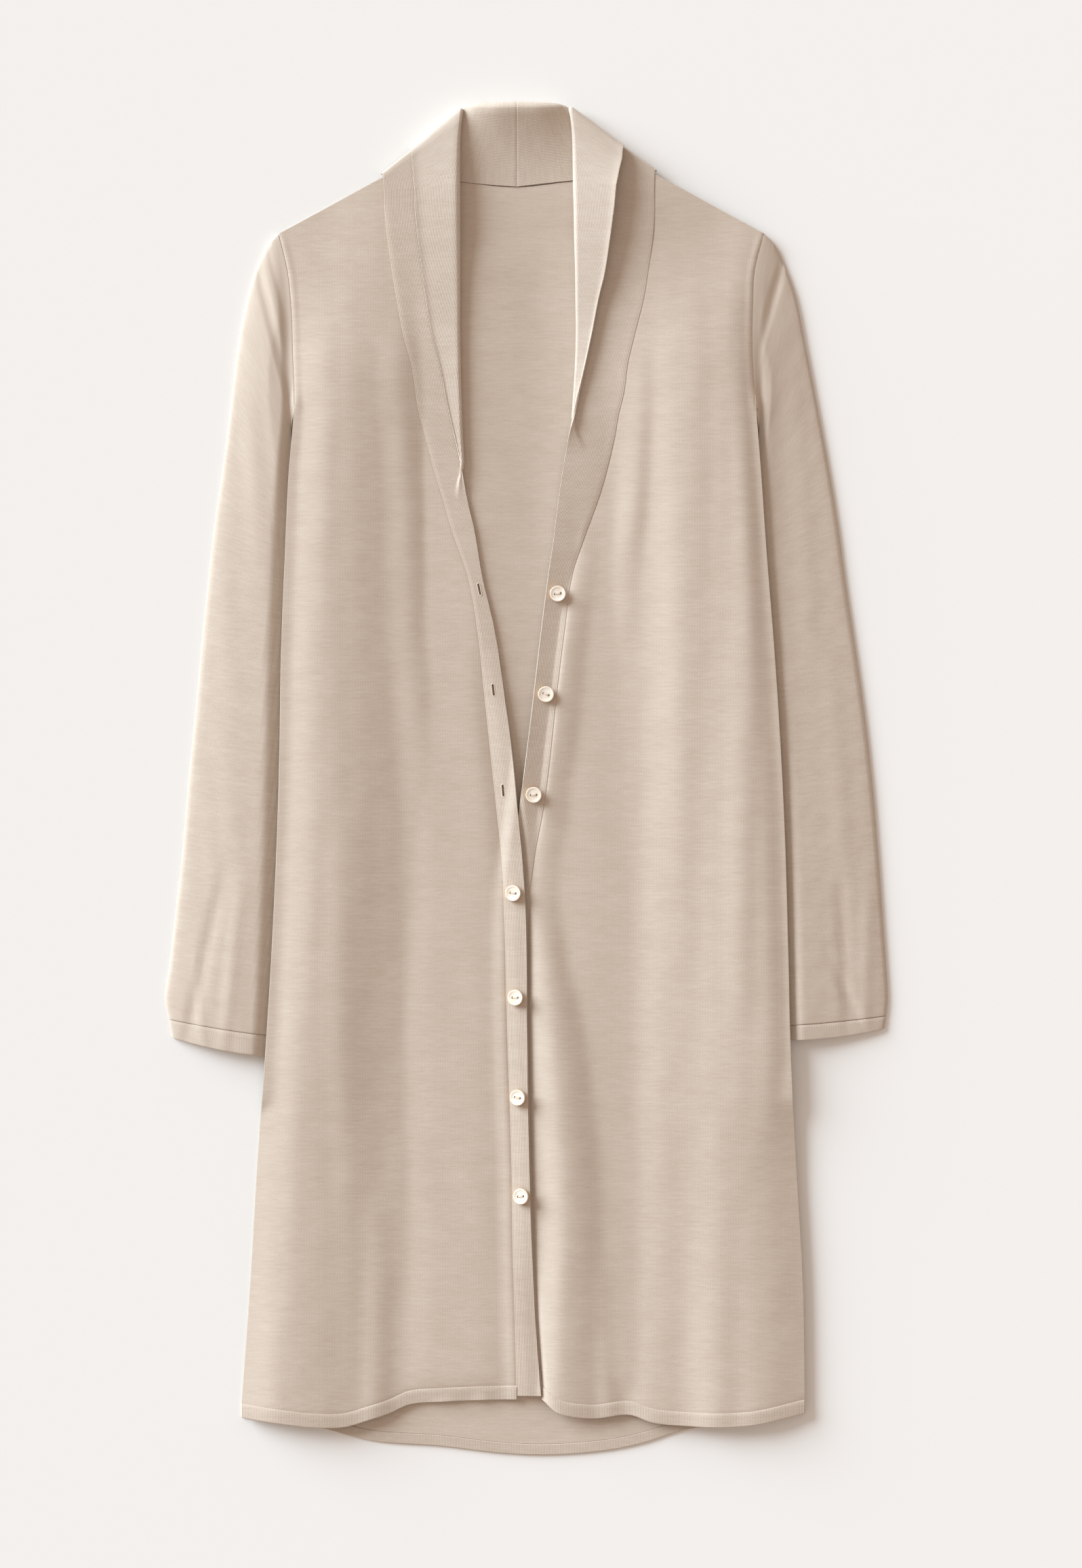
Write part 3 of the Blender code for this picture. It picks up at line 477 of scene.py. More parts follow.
def fold(x, y, rows):
    """A long fold that runs down the cloth through the rows of its table."""
    crest, height, left, right = (curve(rows, y, k) for k in (1, 2, 3, 4))
    ys = [row[0] for row in rows]
    ends = smooth(max(ys) + 60.0, max(ys), y) * smooth(min(ys) - 60.0, min(ys), y)
    return height * bump(x - crest, left, right) * ends


def ripple(x, y, seed, size_x, size_y):
    """Slow even waves without a repeat, about -1 to 1."""
    rng = np.random.default_rng(seed)
    total = 0.0
    for _ in range(7):
        kx, ky = rng.normal(0.0, 1.0 / size_x), rng.normal(0.0, 1.0 / size_y)
        total = total + np.sin(2.0 * math.pi * (kx * x + ky * y) + rng.uniform(0.0, 6.28))
    return total / 3.2


def swell(x, y):
    """Long rise of the fronts over the sleeves at both sides, and their folds."""
    from_left, from_right = x - curve(BODY, y, RIGHT), curve(BODY, y, LEFT) - x
    below = smooth(-210.0, -330.0, y)
    at_left = (8.0 - 5.6 * smooth(310.0, 410.0, y)) * bump(from_left - 34.0, 54.0,
                                                           mix(106.0, 126.0, below))
    crest = mix(21.0, 42.0, below)
    at_right = mix(7.6, 6.4, below) * bump(crest - from_right, mix(150.0, 122.0, below),
                                           mix(42.0, 66.0, below))
    lifted = np.maximum(smooth(120.0, 40.0, from_left), smooth(120.0, 40.0, from_right))
    lifted = mix(2.2, 0.5, below) * lifted
    total = 0.12 * ripple(x, y, 3, 70.0, 180.0)
    for rows in FRONT_FOLDS:
        total = total + fold(x, y, rows)
    total = total * smooth(0.0, 16.0, from_left) * smooth(0.0, 16.0, from_right)
    calm = 1.0 - 0.8 * smooth(330.0, 446.0, y)
    return (at_left + at_right + total) * calm + lifted * (1.0 - 0.6 * smooth(380.0, 446.0, y))


def pressed_sleeve(side, inside):
    """Height of a sleeve under the body, thinner towards its hidden fold."""
    pressed = RIGHT_PRESSED if side == RIGHT else LEFT_PRESSED
    return mix(pressed, HIDDEN_PRESSED, smooth(0.0, 48.0, inside))


def over_sleeves(x, y):
    """How far the sleeves beneath the body lift it, easing to 0 round them."""
    ends = smooth(338.0, 296.0, y) * smooth(CUFF_END_Y - 60.0, CUFF_END_Y - 26.0, y)
    most = 0.0
    for side, table, sign in ((RIGHT, SLEEVE_RIGHT, 1.0), (LEFT, SLEEVE_LEFT, -1.0)):
        rows = [(row[3], row[2]) for row in table]
        edge = sign * curve(rows, y)
        for reach in (-26.0, -13.0, 13.0, 26.0):
            edge = np.maximum(edge, sign * curve(rows, y + reach))
        lift = pressed_sleeve(side, sign * (x - curve(BODY, y, side))) + SLEEVE_CLEAR
        most = np.maximum(most, lift * smooth(30.0, 10.0, sign * x - edge))
    return most * ends


def back_under(x, y):
    """Height of the back panel's underside."""
    neck = NECK_LIFT * smooth(390.0, 468.0, y) * smooth(150.0, 118.0, np.abs(x + 7.0))
    sag = 0.6 + 0.12 * ripple(x, y, 8, 60.0, 120.0)
    sag = sag + 2.5 * smooth(16.0, -46.0, x) * smooth(-120.0, -72.0, x)
    sag = sag + 1.3 * smooth(4.0, 56.0, x) * smooth(130.0, 84.0, x)
    sag = sag * smooth(440.0, 400.0, y) * smooth(-505.0, -470.0, y)
    return over_sleeves(x, y) + neck + np.maximum(sag, 0.0)


def front_under(x, y):
    """Height of a front panel's underside, above the back and with its folds."""
    neck = 3.2 * smooth(330.0, 464.0, y) * smooth(165.0, 105.0, np.abs(x + 7.0))
    least = back_under(x, y) + KNIT + LAYER_GAP
    from_left, from_right = x - curve(BODY, y, RIGHT), curve(BODY, y, LEFT) - x
    armhole = np.exp(-((np.minimum(from_left, from_right) - 3.0) / 1.8) ** 2)
    armhole = 0.45 * armhole * smooth(286.0, 300.0, y) * smooth(438.0, 425.0, y)
    over = 2.2 + swell(x, y) + neck
    return least + np.maximum(over - least, 0.0) + 0.25 * np.exp(-np.abs(over - least)) + armhole


def band_lean(x, y):
    """Above the lap the left band slopes down from its free edge to its seam."""
    seam, free = curve(LAPEL_LEFT, y, 1), curve(LAPEL_LEFT, y, 3)
    across = np.clip((seam - x) / (seam - free), 0.0, 1.0)
    return 3.2 * across * smooth(-90.0, 0.0, y) * smooth(330.0, 250.0, y)


def front_height(side, x, y):
    """Height of a front and its band: the right one rises onto the left one at the lap."""
    z = front_under(x, y)
    lapped = smooth(140.0, 60.0, y)
    free = curve(LAPEL_RIGHT, y, 3)
    if side == LEFT:
        beside = smooth(0.6, 6.0, x - free) * smooth(110.0, 20.0, x - free)
        return z + band_lean(x, y) + 1.9 * beside * lapped
    under_edge = curve(LAPEL_LEFT, y, 3)
    seam = curve(LAPEL_RIGHT, y, 1)
    across = np.clip((x - seam) / (free - seam), 0.0, 1.0)
    lean = 1.9 * across * smooth(110.0, 20.0, y) * smooth(-430.0, -330.0, y)
    groove = 0.9 * np.exp(-((x - seam) / 6.0) ** 2) * lapped
    return z + LAP_LIFT * smooth(-13.0, -2.0, x - under_edge) * lapped + lean - groove


def clustered(length, step, close=(0.0, 0.7, 1.6, 3.0)):
    """Places from 0 to 1 along a length, a step apart and closer at both ends."""
    count = max(2, int(round((length - 12.0) / step)))
    inner = np.linspace(6.0, length - 6.0, count + 1)
    ends = np.array(close)
    return np.concatenate([ends, inner, (length - ends)[::-1]]) / length


def pillow(distance, depth=0.22, width=2.2):
    """The dip of knitted cloth into a seam."""
    return depth * (1.0 - smooth(0.0, width, distance))


def deselect():
    """Leaves nothing selected before an operator runs."""
    if bpy.context.mode != "OBJECT":
        bpy.ops.object.mode_set(mode="OBJECT")
    bpy.ops.object.select_all(action="DESELECT")


def pick(*objs):
    """Selects these pieces alone, the first of them active."""
    deselect()
    for obj in objs:
        obj.select_set(True)
    bpy.context.view_layer.objects.active = objs[0]


def close_seams(obj, distance):
    """Merges points that meet, and turns every face outwards."""
    pick(obj)
    bpy.ops.object.mode_set(mode="EDIT")
    bpy.ops.mesh.select_all(action="SELECT")
    bpy.ops.mesh.remove_doubles(threshold=distance)
    bpy.ops.mesh.normals_make_consistent(inside=False)
    bpy.ops.object.mode_set(mode="OBJECT")


def lay_grid(name, x, y, z, across, along, reverse=None):
    """A grid primitive whose points are moved to a cloth's form, with its own cloth map.

    Where the cloth turns over, reverse is 1 and its other face shows; the collar's material
    tints it paler there, partly for the reverse face's own tone and partly as painted light.
    """
    rows, cols = x.shape
    deselect()
    bpy.ops.mesh.primitive_grid_add(x_subdivisions=cols - 1, y_subdivisions=rows - 1, size=2)
    obj = bpy.context.object
    obj.name = name
    obj.data.name = name
    mesh = obj.data
    flat = np.empty(len(mesh.vertices) * 3)
    mesh.vertices.foreach_get("co", flat)
    flat = flat.reshape(-1, 3)
    j = np.rint((flat[:, 0] + 1.0) * 0.5 * (cols - 1)).astype(int)
    i = np.rint((flat[:, 1] + 1.0) * 0.5 * (rows - 1)).astype(int)
    spot = np.stack([x[i, j] - CENTRE_X, y[i, j], z[i, j]], axis=1) * MM
    mesh.vertices.foreach_set("co", spot.ravel())
    layer = mesh.uv_layers.active
    layer.name = "cloth"
    corner = np.empty(len(mesh.loops), dtype=np.int32)
    mesh.loops.foreach_get("vertex_index", corner)
    uv = np.stack([across[i, j], along[i, j]], axis=1)[corner] * MM
    layer.data.foreach_set("uv", uv.ravel())
    if reverse is not None:
        turned_over = mesh.uv_layers.new(name="reverse")
        shown = reverse[i, j][corner]
        turned_over.data.foreach_set("uv", np.stack([shown, 0.0 * shown], axis=1).ravel())
        mesh.uv_layers.active = mesh.uv_layers["cloth"]
    mesh.update()
    return obj


def soften(obj, width, segments, angle):
    """Rounds the edges of the active piece that are sharper than an angle."""
    soft = obj.modifiers.new("soft_edge", "BEVEL")
    soft.width = width * MM
    soft.segments = segments
    soft.limit_method = "ANGLE"
    soft.angle_limit = math.radians(angle)
    bpy.ops.object.modifier_apply(modifier="soft_edge")


def add_wall(obj, thickness, offset, bevel=0.2):
    """Gives a cloth its thickness and softens the edges of its rim."""
    pick(obj)
    wall = obj.modifiers.new("wall", "SOLIDIFY")
    wall.thickness = thickness * MM
    wall.offset = offset
    bpy.ops.object.modifier_apply(modifier="wall")
    soften(obj, bevel, 2, 55.0)
    bpy.ops.object.shade_smooth_by_angle(angle=math.radians(50.0))


def dress(obj, node, material):
    """Puts a cloth on the part in place of its plain solid."""
    obj.data.materials.clear()
    obj.data.materials.append(material)
    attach(obj, "root")
    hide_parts(node)
    return obj


# Plan of the panels

def side_and_seam(t):
    """y at a front's outer edge and at its band seam, for t from hem to shoulder."""
    side_y = mix(FRONT_END_Y, SHOULDER_Y, t)
    q = np.clip((SHOULDER_Y - side_y) / (SHOULDER_Y - UNDERARM_Y), 0.0, 1.0)
    seam_y = mix(NECK_END_Y[0], UNDERARM_Y, q**1.12)
    return side_y, np.where(side_y > UNDERARM_Y, seam_y, side_y)


def front_plan(side, s, t):
    """Plan places of a front; s runs from its outer edge to its band seam."""
    lapel = LAPEL_RIGHT if side == RIGHT else LAPEL_LEFT
    low, top = NECK_END_Y[0], NECK_END_Y[side - 1]
    side_y, seam_y = side_and_seam(t)
    seam_y = seam_y + (top - low) * smooth(440.0, low, seam_y)
    x = mix(curve(BODY, side_y, side), curve(lapel, seam_y, 1), s)
    y = mix(side_y, seam_y, s)
    hem = curve(HEM_FRONTS, x) + HEM_FRONT + SEAM_GAP
    return x, y + (hem - FRONT_END_Y) * (1.0 - smooth(0.0, 0.07, t))


def build_front(name, hem_name, side, knit, trim):
    """A front panel and its bottom band."""
    s = clustered(FRONT_WIDE, 4.4)
    t = clustered(FRONT_LONG, 4.8)
    if side == LEFT:
        s = s[::-1]
    s_grid, t_grid = np.meshgrid(s, t)
    x, y = front_plan(side, s_grid, t_grid)
    z = front_height(side, x, y)
    z = z - pillow((1.0 - s_grid) * FRONT_WIDE) - pillow(t_grid * FRONT_LONG)
    z = z - pillow(s_grid * FRONT_WIDE, 0.5, 3.0) * (t_grid > 0.855)
    obj = lay_grid(name + "_knit", x, y, z, x, y)
    add_wall(obj, KNIT, 1.0)
    dress(obj, name, knit)
    drop = np.array([0.0, 0.08, 0.2, 0.4, 0.6, 0.8, 0.92, 1.0])
    x0, y0 = front_plan(side, s, np.zeros_like(s))
    x = np.tile(x0, (len(drop), 1))
    y = curve(HEM_FRONTS, x) + drop[:, None] * HEM_FRONT
    z = front_height(side, x, y) + 0.1 - pillow((1.0 - drop[:, None]) * HEM_FRONT, 0.5, 1.6)
    hem = lay_grid(hem_name + "_band", x, y, z, x, y)
    add_wall(hem, HEM_WALL, 1.0, 0.5)
    dress(hem, hem_name, trim)
    return obj, hem


def back_top(x):
    """y of the back's top edge: a shoulder seam on each side and the neck between them."""
    (shoulder_a, shoulder_b), (neck_a, neck_b) = SHOULDER_X, NECK_END_X
    left = mix(SHOULDER_Y, NECK_END_Y[0], (x - shoulder_a) / (neck_a - shoulder_a))
    right = mix(NECK_END_Y[1], SHOULDER_Y, (x - neck_b) / (shoulder_b - neck_b))
    return np.where(x < neck_a, left, np.where(x > neck_b, right, curve(NECK_SEAM, x)))


def build_back(knit, trim):
    """The back panel and its bottom band."""
    s = clustered(BACK_WIDE, 5.5)
    t = clustered(BACK_LONG, 6.0)
    s_grid, t_grid = np.meshgrid(s, t)
    side_y = mix(BACK_END_Y, SHOULDER_Y, t_grid)
    x = mix(curve(BODY, side_y, RIGHT), curve(BODY, side_y, LEFT), s_grid)
    x_top = mix(*SHOULDER_X, s_grid)
    y = side_y + (back_top(x_top) - SHOULDER_Y) * smooth(0.8, 1.0, t_grid)
    hem = curve(HEM_BACKS, x) + HEM_BACK + SEAM_GAP
    y = y + (hem - BACK_END_Y) * (1.0 - smooth(0.0, 0.1, t_grid))
    z = back_under(x, y)
    obj = lay_grid("back_knit", x, y, z, x, y)
    add_wall(obj, KNIT, 1.0)
    dress(obj, "back", knit)
    x0 = mix(curve(BODY, BACK_END_Y, RIGHT), curve(BODY, BACK_END_Y, LEFT), s)
    drop = np.array([0.0, 0.1, 0.25, 0.5, 0.75, 0.9, 1.0])
    x = np.tile(x0, (len(drop), 1))
    y = curve(HEM_BACKS, x) + drop[:, None] * HEM_BACK
    z = back_under(x, y) + 0.05 * drop[:, None]
    hem = lay_grid("hem_back_band", x, y, z, x, y)
    add_wall(hem, HEM_WALL, 1.0, 0.5)
    dress(hem, "hem_back", trim)
    return obj, hem


# Sleeves

def sleeve_creases(side, x, y):
    """Creases of a sleeve, with a slow wave between them."""
    total = 0.0
    for crease in CREASES_RIGHT if side == RIGHT else CREASES_LEFT:
        total = total + ridge(x, y, crease)
    return total + 0.12 * ripple(x, y, 11 + side, 40.0, 110.0)


def sleeve_form(side, u):
    """Rings of places round the flattened sleeve at each u from armhole to cuff edge."""
    table = SLEEVE_RIGHT if side == RIGHT else SLEEVE_LEFT
    sign = -1.0 if side == RIGHT else 1.0
    ends = station(table, u)
    ox, oy, ix, iy = (ends[:, k:k + 1] for k in range(4))
    s = np.linspace(0.0, 1.0, 30)[None, :]
    arm_y = mix(SHOULDER_Y, UNDERARM_Y, s)
    first = table[0]
    bow = curve(BODY, arm_y, side) + sign * SEAM_GAP - mix(first[0], first[2], s)
    cuff = smooth(0.9, 1.0, u)[:, None]
    x = mix(ox, ix, s) + (1.0 - u[:, None]) ** 8 * bow
    y = mix(oy, iy, s) - 12.0 * cuff * s * (1.0 - s)
    width = np.hypot(ix - ox, iy - oy)
    start = smooth(0.11, 0.0, u)[:, None]
    off_body = sign * (x - curve(BODY, y, side))
    from_edge = s * width
    if side == RIGHT:
        inward = np.minimum(from_edge, 58.0)
        rise = 2.2 + 0.19 * inward * (1.0 - inward / 160.0) + 0.6 * (1.0 - np.exp(-inward / 5.0))
    else:
        slope = mix(0.072, 0.094, smooth(60.0, -120.0, y))
        rise = 2.2 + slope * np.minimum(from_edge, 76.0) + 0.5 * (1.0 - np.exp(-from_edge / 6.0))
    crown = smooth(0.3, 10.0, off_body)
    high = mix(np.minimum(rise, pressed_sleeve(side, -off_body)), rise, crown)
    high = high + sleeve_creases(side, x, y) * crown * smooth(0.0, 8.0, from_edge)
    seam_x = curve(BODY, arm_y, side)
    top = mix(high, front_under(seam_x, arm_y) + KNIT, start)
    low = mix(0.0, back_under(seam_x, arm_y), start)
    run_x, run_y = (ix - ox) / width, (iy - oy) / width
    tucked = 2.2 - 3.3 * smooth(0.09, 0.14, u)[:, None]
    near_seam = smooth(0.0, 0.012, u)[:, None] * smooth(0.12, 0.07, u)[:, None]
    top = top - 1.5 * smooth(0.93, 1.0, s) * near_seam
    pull = 1.1 * (1.0 - smooth(0.0, 0.03, s)) + tucked * smooth(0.97, 1.0, s)
    x, y = x + run_x * pull, y + run_y * pull
    mid_in = 0.5 * (top[:, -1:] + low[:, -1:])
    mid_out = 0.5 * (top[:, :1] + low[:, :1])
    ring_x = np.concatenate([x, ix, x[:, ::-1], ox, x[:, :1]], axis=1)
    ring_y = np.concatenate([y, iy, y[:, ::-1], oy, y[:, :1]], axis=1)
    ring_z = np.concatenate([top, mid_in, low[:, ::-1], mid_out, top[:, :1]], axis=1)
    around = np.concatenate([s * 130.0, [[133.0]], 266.0 - s[:, ::-1] * 130.0 + 0.0 * s,
                             [[269.0]], [[270.0]]], axis=1) * np.ones_like(ring_x)
    down = -SLEEVE_LONG * u[:, None] * np.ones_like(ring_x)
    return ring_x, ring_y, ring_z, around, down


def build_sleeve(name, cuff_name, side, knit, trim):
    """A sleeve and its cuff, two flattened tubes."""
    cuff_at = 0.9415 if side == RIGHT else 0.9445
    pieces = []
    spans = ((name, 0.0, cuff_at, 150, knit, "knit"),
             (cuff_name, cuff_at + 0.0006, 1.0, 9, trim, "band_knit"))
    for piece, low, high, count, material, slot in spans:
        u = np.linspace(low, high, count)
        if piece == name:
            u = np.concatenate([[0.0, 0.001, 0.003, 0.006], u[1:-1],
                                [high - 0.0045, high - 0.0022, high - 0.0009, high]])
            u = np.unique(np.round(u, 6))
        x, y, z, around, down = sleeve_form(side, u)
        if piece == name:
            dip = pillow((high - u) * SLEEVE_LONG * 1.6)[:, None]
        else:
            dip = pillow((u - low) * 260.0, 0.5, 1.6)[:, None]
        z = np.where(z > 2.0, z - dip, z)
        if side == LEFT:
            x, y, z, around, down = (a[:, ::-1] for a in (x, y, z, around, down))
        obj = lay_grid(piece + "_tube", x[::-1], y[::-1], z[::-1], around[::-1], down[::-1])
        close_seams(obj, 0.00002)
        add_wall(obj, KNIT, -1.0, 0.4)
        pieces.append(dress(obj, piece, material))
    return pieces


# Collar and front bands

def collar_section(fold_w, free_w, roll, sigma, hold):
    """Places across the collar: along the stand, round the roll, down the fall."""
    bulge = 2.0 * roll - FALL_GAP
    reach = min(roll, 0.45 * (fold_w - free_w) + 0.6)
    turn = fold_w - reach
    q = np.concatenate([[0.0, 0.012, 0.03, 0.06], np.linspace(0.1, 1.0, 12)])
    stand = np.stack([q * turn, -sigma * bulge * q**2], axis=1)
    low, high = -sigma * bulge, FALL_GAP + (1.0 - sigma) * bulge
    t = np.radians(np.linspace(-75.0, 75.0, 9))
    round_x = turn + reach * np.cos(t)
    rounded = np.stack([round_x, 0.5 * (low + high) + 0.5 * (high - low) * np.sin(t)], axis=1)
    q = np.concatenate([np.linspace(0.0, 0.93, 10), [0.965, 0.985, 1.0]])
    lip = 0.55 * min(2.5 * hold, 1.0) * smooth(0.88, 1.0, q)
    lie = bulge * (1.0 - (1.0 - hold) * q) + lip
    fall = np.stack([mix(turn, free_w, q), FALL_GAP + (1.0 - sigma) * lie], axis=1)
    return np.concatenate([stand, rounded, fall])


def flat_section(wide):
    """As many places across the flat band below the fold."""
    q = np.concatenate([[0.0, 0.03, 0.07, 0.13], np.linspace(0.19, 0.87, 30),
                        [0.93, 0.96, 0.985, 1.0]])
    return np.stack([q * wide, 0.0 * q], axis=1)


def collar_form(side):
    """The collar's middle surface from the hem to the centre back."""
    if side == RIGHT:
        lapel, neck, sign = LAPEL_RIGHT, NECK_RIGHT, 1.0
        fold_start, full_roll, hold = 246.0, 2.0, 0.4
    else:
        lapel, neck, sign = LAPEL_LEFT, NECK_LEFT, -1.0
        fold_start, full_roll, hold = 282.0, 1.8, 1.95
    lines, folded = [], []
    for y in np.concatenate([[-491.0, -490.3, -489.0], np.arange(-486.0, 455.0, 4.5)]):
        seam, turned_at, free = (float(curve(lapel, y, k)) for k in (1, 2, 3))
        wide = sign * (free - seam)
        section = flat_section(wide)
        turned = float(smooth(fold_start - 26.0, fold_start + 8.0, y))
        if turned > 0.0:
            roll = float(mix(1.5, full_roll, smooth(fold_start, fold_start + 90.0, y)))
            roll = float(mix(roll, 3.2, smooth(360.0, 460.0, y)))
            fold_w = max(sign * (turned_at - seam), wide + 1.0)
            section = mix(section, collar_section(fold_w, wide, roll, 0.0, hold), turned)
        a = np.where(section[:, 0] < 0.05, -0.25, section[:, 0])
        x = seam + sign * a
        base = front_height(side, x, y) + 0.5 * BAND
        high = np.maximum(base, NECK_AXIS_Z + CREASE_RADIUS)
        base = mix(base, high, smooth(330.0, 462.0, y))
        edge = pillow(a, 0.25, 2.4)
        folded.append(turned)
        lines.append(np.stack([x, np.full_like(x, y), base + section[:, 1] - edge], axis=1))
    count = len(neck) - 1
    for u in np.linspace(0.0, 1.0, count * 7 + 1):
        sx, sy, fx, fy, fall, roll, turn = station(neck, np.array([u]))[0]
        turn = min(max(turn, 0.0), 180.0)
        fall -= 1.9 * float(bump(u * count - 1.3, 1.7, 1.7))
        along = np.array([fx - sx, fy - sy, 0.0])
        fold_w = float(np.linalg.norm(along))
        along = along / fold_w
        out = np.array([-along[1], along[0], 0.0]) * sign
        t = math.radians(turn)
        normal = np.array([0.0, 0.0, math.cos(t)]) + out * math.sin(t)
        eased = mix(hold, 0.0, float(smooth(0.0, 35.0, turn)))
        section = collar_section(fold_w, fold_w - fall, roll, turn / 180.0, eased)
        section[:, 1] *= 1.0 + 0.35 * float(smooth(120.0, 180.0, turn))
        start = np.array([sx, sy, NECK_AXIS_Z])
        a = np.maximum(section[:, :1], -0.15)
        height = (section[:, 1:] + CREASE_RADIUS) * (1.0 - 0.38 * math.sin(t))
        lines.append(start + along * a + normal * height)
        folded.append(1.0)
    lines[-1][:, 0] += sign * 0.12
    # Mask of the turned fall, tinted paler in the material: partly the reverse face's own tone,
    # partly painted light on the turned lapels
    reverse = np.array(folded)[:, None] * smooth(17.0, 22.0, np.arange(len(lines[0])))
    return np.array(lines), reverse


def build_collar(name, side, material):
    """One side's band and collar in one strip, with the cloth map along its length."""
    form, reverse = collar_form(side)
    x, y, z = form[:, :, 0], form[:, :, 1], form[:, :, 2]
    step = np.linalg.norm(np.diff(form, axis=1), axis=2)
    across = np.concatenate([np.zeros((len(form), 1)), np.cumsum(step, axis=1)], axis=1)
    middle = form[:, form.shape[1] // 3]
    run = np.concatenate([[0.0], np.cumsum(np.linalg.norm(np.diff(middle, axis=0), axis=1))])
    along = run[:, None] * np.ones_like(x)
    if side == LEFT:
        x, y, z, across, along, reverse = (
            a[:, ::-1] for a in (x, y, z, across, along, reverse))
    obj = lay_grid(name + "_band", x, y, z, across, along, reverse)
    add_wall(obj, BAND, 0.0, 0.5)
    return dress(obj, name, material)


def cut_away(obj, cutters):
    """Cuts closed shapes out of a piece."""
    pick(*cutters)
    if len(cutters) > 1:
        bpy.ops.object.join()
    tool = bpy.context.object
    cut = obj.modifiers.new("cut", "BOOLEAN")
    cut.operation = "DIFFERENCE"
    cut.solver = "EXACT"
    cut.object = tool
    pick(obj)
    bpy.ops.object.modifier_apply(modifier="cut")
    bpy.data.objects.remove(tool, do_unlink=True)


def spot(x, y, z):
    """A place on the garment, in the part's own frame and in metres."""
    return ((x - CENTRE_X) * MM, y * MM, z * MM)


def work_buttonholes(band, yarn):
    """Upright slits through the lapping band, each with its worked edge."""
    cutters = []
    for number, (x, y, lean) in enumerate(BUTTONHOLES, 1):
        z = float(front_height(RIGHT, np.array(x), np.array(y))) + 0.5 * BAND
        bpy.ops.mesh.primitive_cube_add(size=1.0, location=spot(x, y, z))
        cutter = bpy.context.object
        cutter.scale = (SLIT_WIDTH * MM, SLIT_LENGTH * MM, 6.0 * MM)
        cutter.rotation_euler = (0.0, 0.0, math.radians(lean))
        cutters.append(cutter)
        deselect()
        bpy.ops.mesh.primitive_torus_add(
            location=spot(x, y, z + 0.5 * BAND - 0.15), major_segments=40, minor_segments=8,
            major_radius=1.75 * MM, minor_radius=0.42 * MM)
        edge = bpy.context.object
        edge.name = "buttonhole_" + str(number)
        for vertex in edge.data.vertices:
            if abs(vertex.co.y) > 0.00004:
                vertex.co.y += math.copysign((0.5 * SLIT_LENGTH - 0.9 - 0.6) * MM, vertex.co.y)
            vertex.co.x *= 0.66
        edge.rotation_euler = (0.0, 0.0, math.radians(lean))
        bpy.ops.object.transform_apply(location=True, rotation=True, scale=True)
        bpy.ops.object.shade_smooth()
        edge.data.materials.append(yarn)
        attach(edge, "root")
    cut_away(band, cutters)


def model_button(shell):
    """A turned shell button with a raised rim, a dished face and two thread holes."""
    deselect()
    bpy.ops.mesh.primitive_cylinder_add(
        vertices=64, radius=0.5 * BUTTON_D * MM, depth=BUTTON_T * MM,
        location=(0.0, 0.0, 0.5 * BUTTON_T * MM))
    disc = bpy.context.object
    disc.name = "button"
    bpy.ops.object.transform_apply(location=True)
    bpy.ops.object.mode_set(mode="EDIT")
    bpy.ops.mesh.select_mode(type="FACE")
    bpy.ops.mesh.select_all(action="DESELECT")
    bpy.ops.object.mode_set(mode="OBJECT")
    for face in disc.data.polygons:
        face.select = face.normal.z > 0.9
    bpy.ops.object.mode_set(mode="EDIT")
    bpy.ops.mesh.inset(thickness=1.0 * MM)
    bpy.ops.mesh.inset(thickness=0.9 * MM, depth=-0.4 * MM)
    bpy.ops.mesh.inset(thickness=0.9 * MM, depth=-0.1 * MM)
    bpy.ops.object.mode_set(mode="OBJECT")
    soften(disc, 0.42, 3, 25.0)
    holes = []
    for side in (-1.0, 1.0):
        bpy.ops.mesh.primitive_cylinder_add(
            vertices=24, radius=0.5 * HOLE_D * MM, depth=8.0 * MM,
            location=(side * 0.5 * HOLE_PITCH * MM, 0.0, 0.0))
        holes.append(bpy.context.object)
    cut_away(disc, holes)
    bpy.ops.object.shade_smooth_by_angle(angle=math.radians(35.0))
    disc.data.materials.append(shell)
    return disc


def thread_lines():
    """Middle lines of four strands that cross from one hole to the other."""
    strands = []
    for number in range(4):
        offset = (number - 1.5) * 0.34
        points = []
        for k in range(13):
            q = k / 12.0
            reach = HOLE_PITCH * (q - 0.5) * 1.12
            lift = BUTTON_T - 0.5 + 0.3 * math.sin(math.pi * q) ** 0.5 - 0.9 * (
                q < 0.06 or q > 0.94)
            bend = offset * (1.0 - 0.35 * abs(2.0 * q - 1.0)) + 0.12 * math.sin(5.0 * q + number)
            points.append((reach, bend, lift))
        strands.append(np.array(points))
    return strands


def thread_piece(name, thread):
    """Strands of sewing thread over a button's two holes."""
    pieces = []
    turn = np.linspace(0.0, 2.0 * math.pi, 9)
    for line in thread_lines():
        run = np.gradient(line, axis=0)
        run = run / np.linalg.norm(run, axis=1)[:, None]
        side = np.stack([run[:, 2], 0.0 * run[:, 0], -run[:, 0]], axis=1)
        thick = np.full(len(line), 0.22)
        thick[0] = thick[-1] = 0.0
        ring = (np.cos(turn)[None, :, None] * side[:, None, :]
                + np.sin(turn)[None, :, None] * np.array([0.0, 1.0, 0.0]))
        form = line[:, None, :] + ring * thick[:, None, None]
        around = np.ones((len(line), 1)) * turn[None, :]
        piece = lay_grid(name, form[:, :, 0] + CENTRE_X, form[:, :, 1], form[:, :, 2],
                         around, around)
        pieces.append(piece)
    pick(*pieces)
    bpy.ops.object.join()
    joined = bpy.context.object
    joined.name = name
    close_seams(joined, 0.00001)
    bpy.ops.object.shade_smooth()
    joined.data.materials.clear()
    joined.data.materials.append(thread)
    return joined


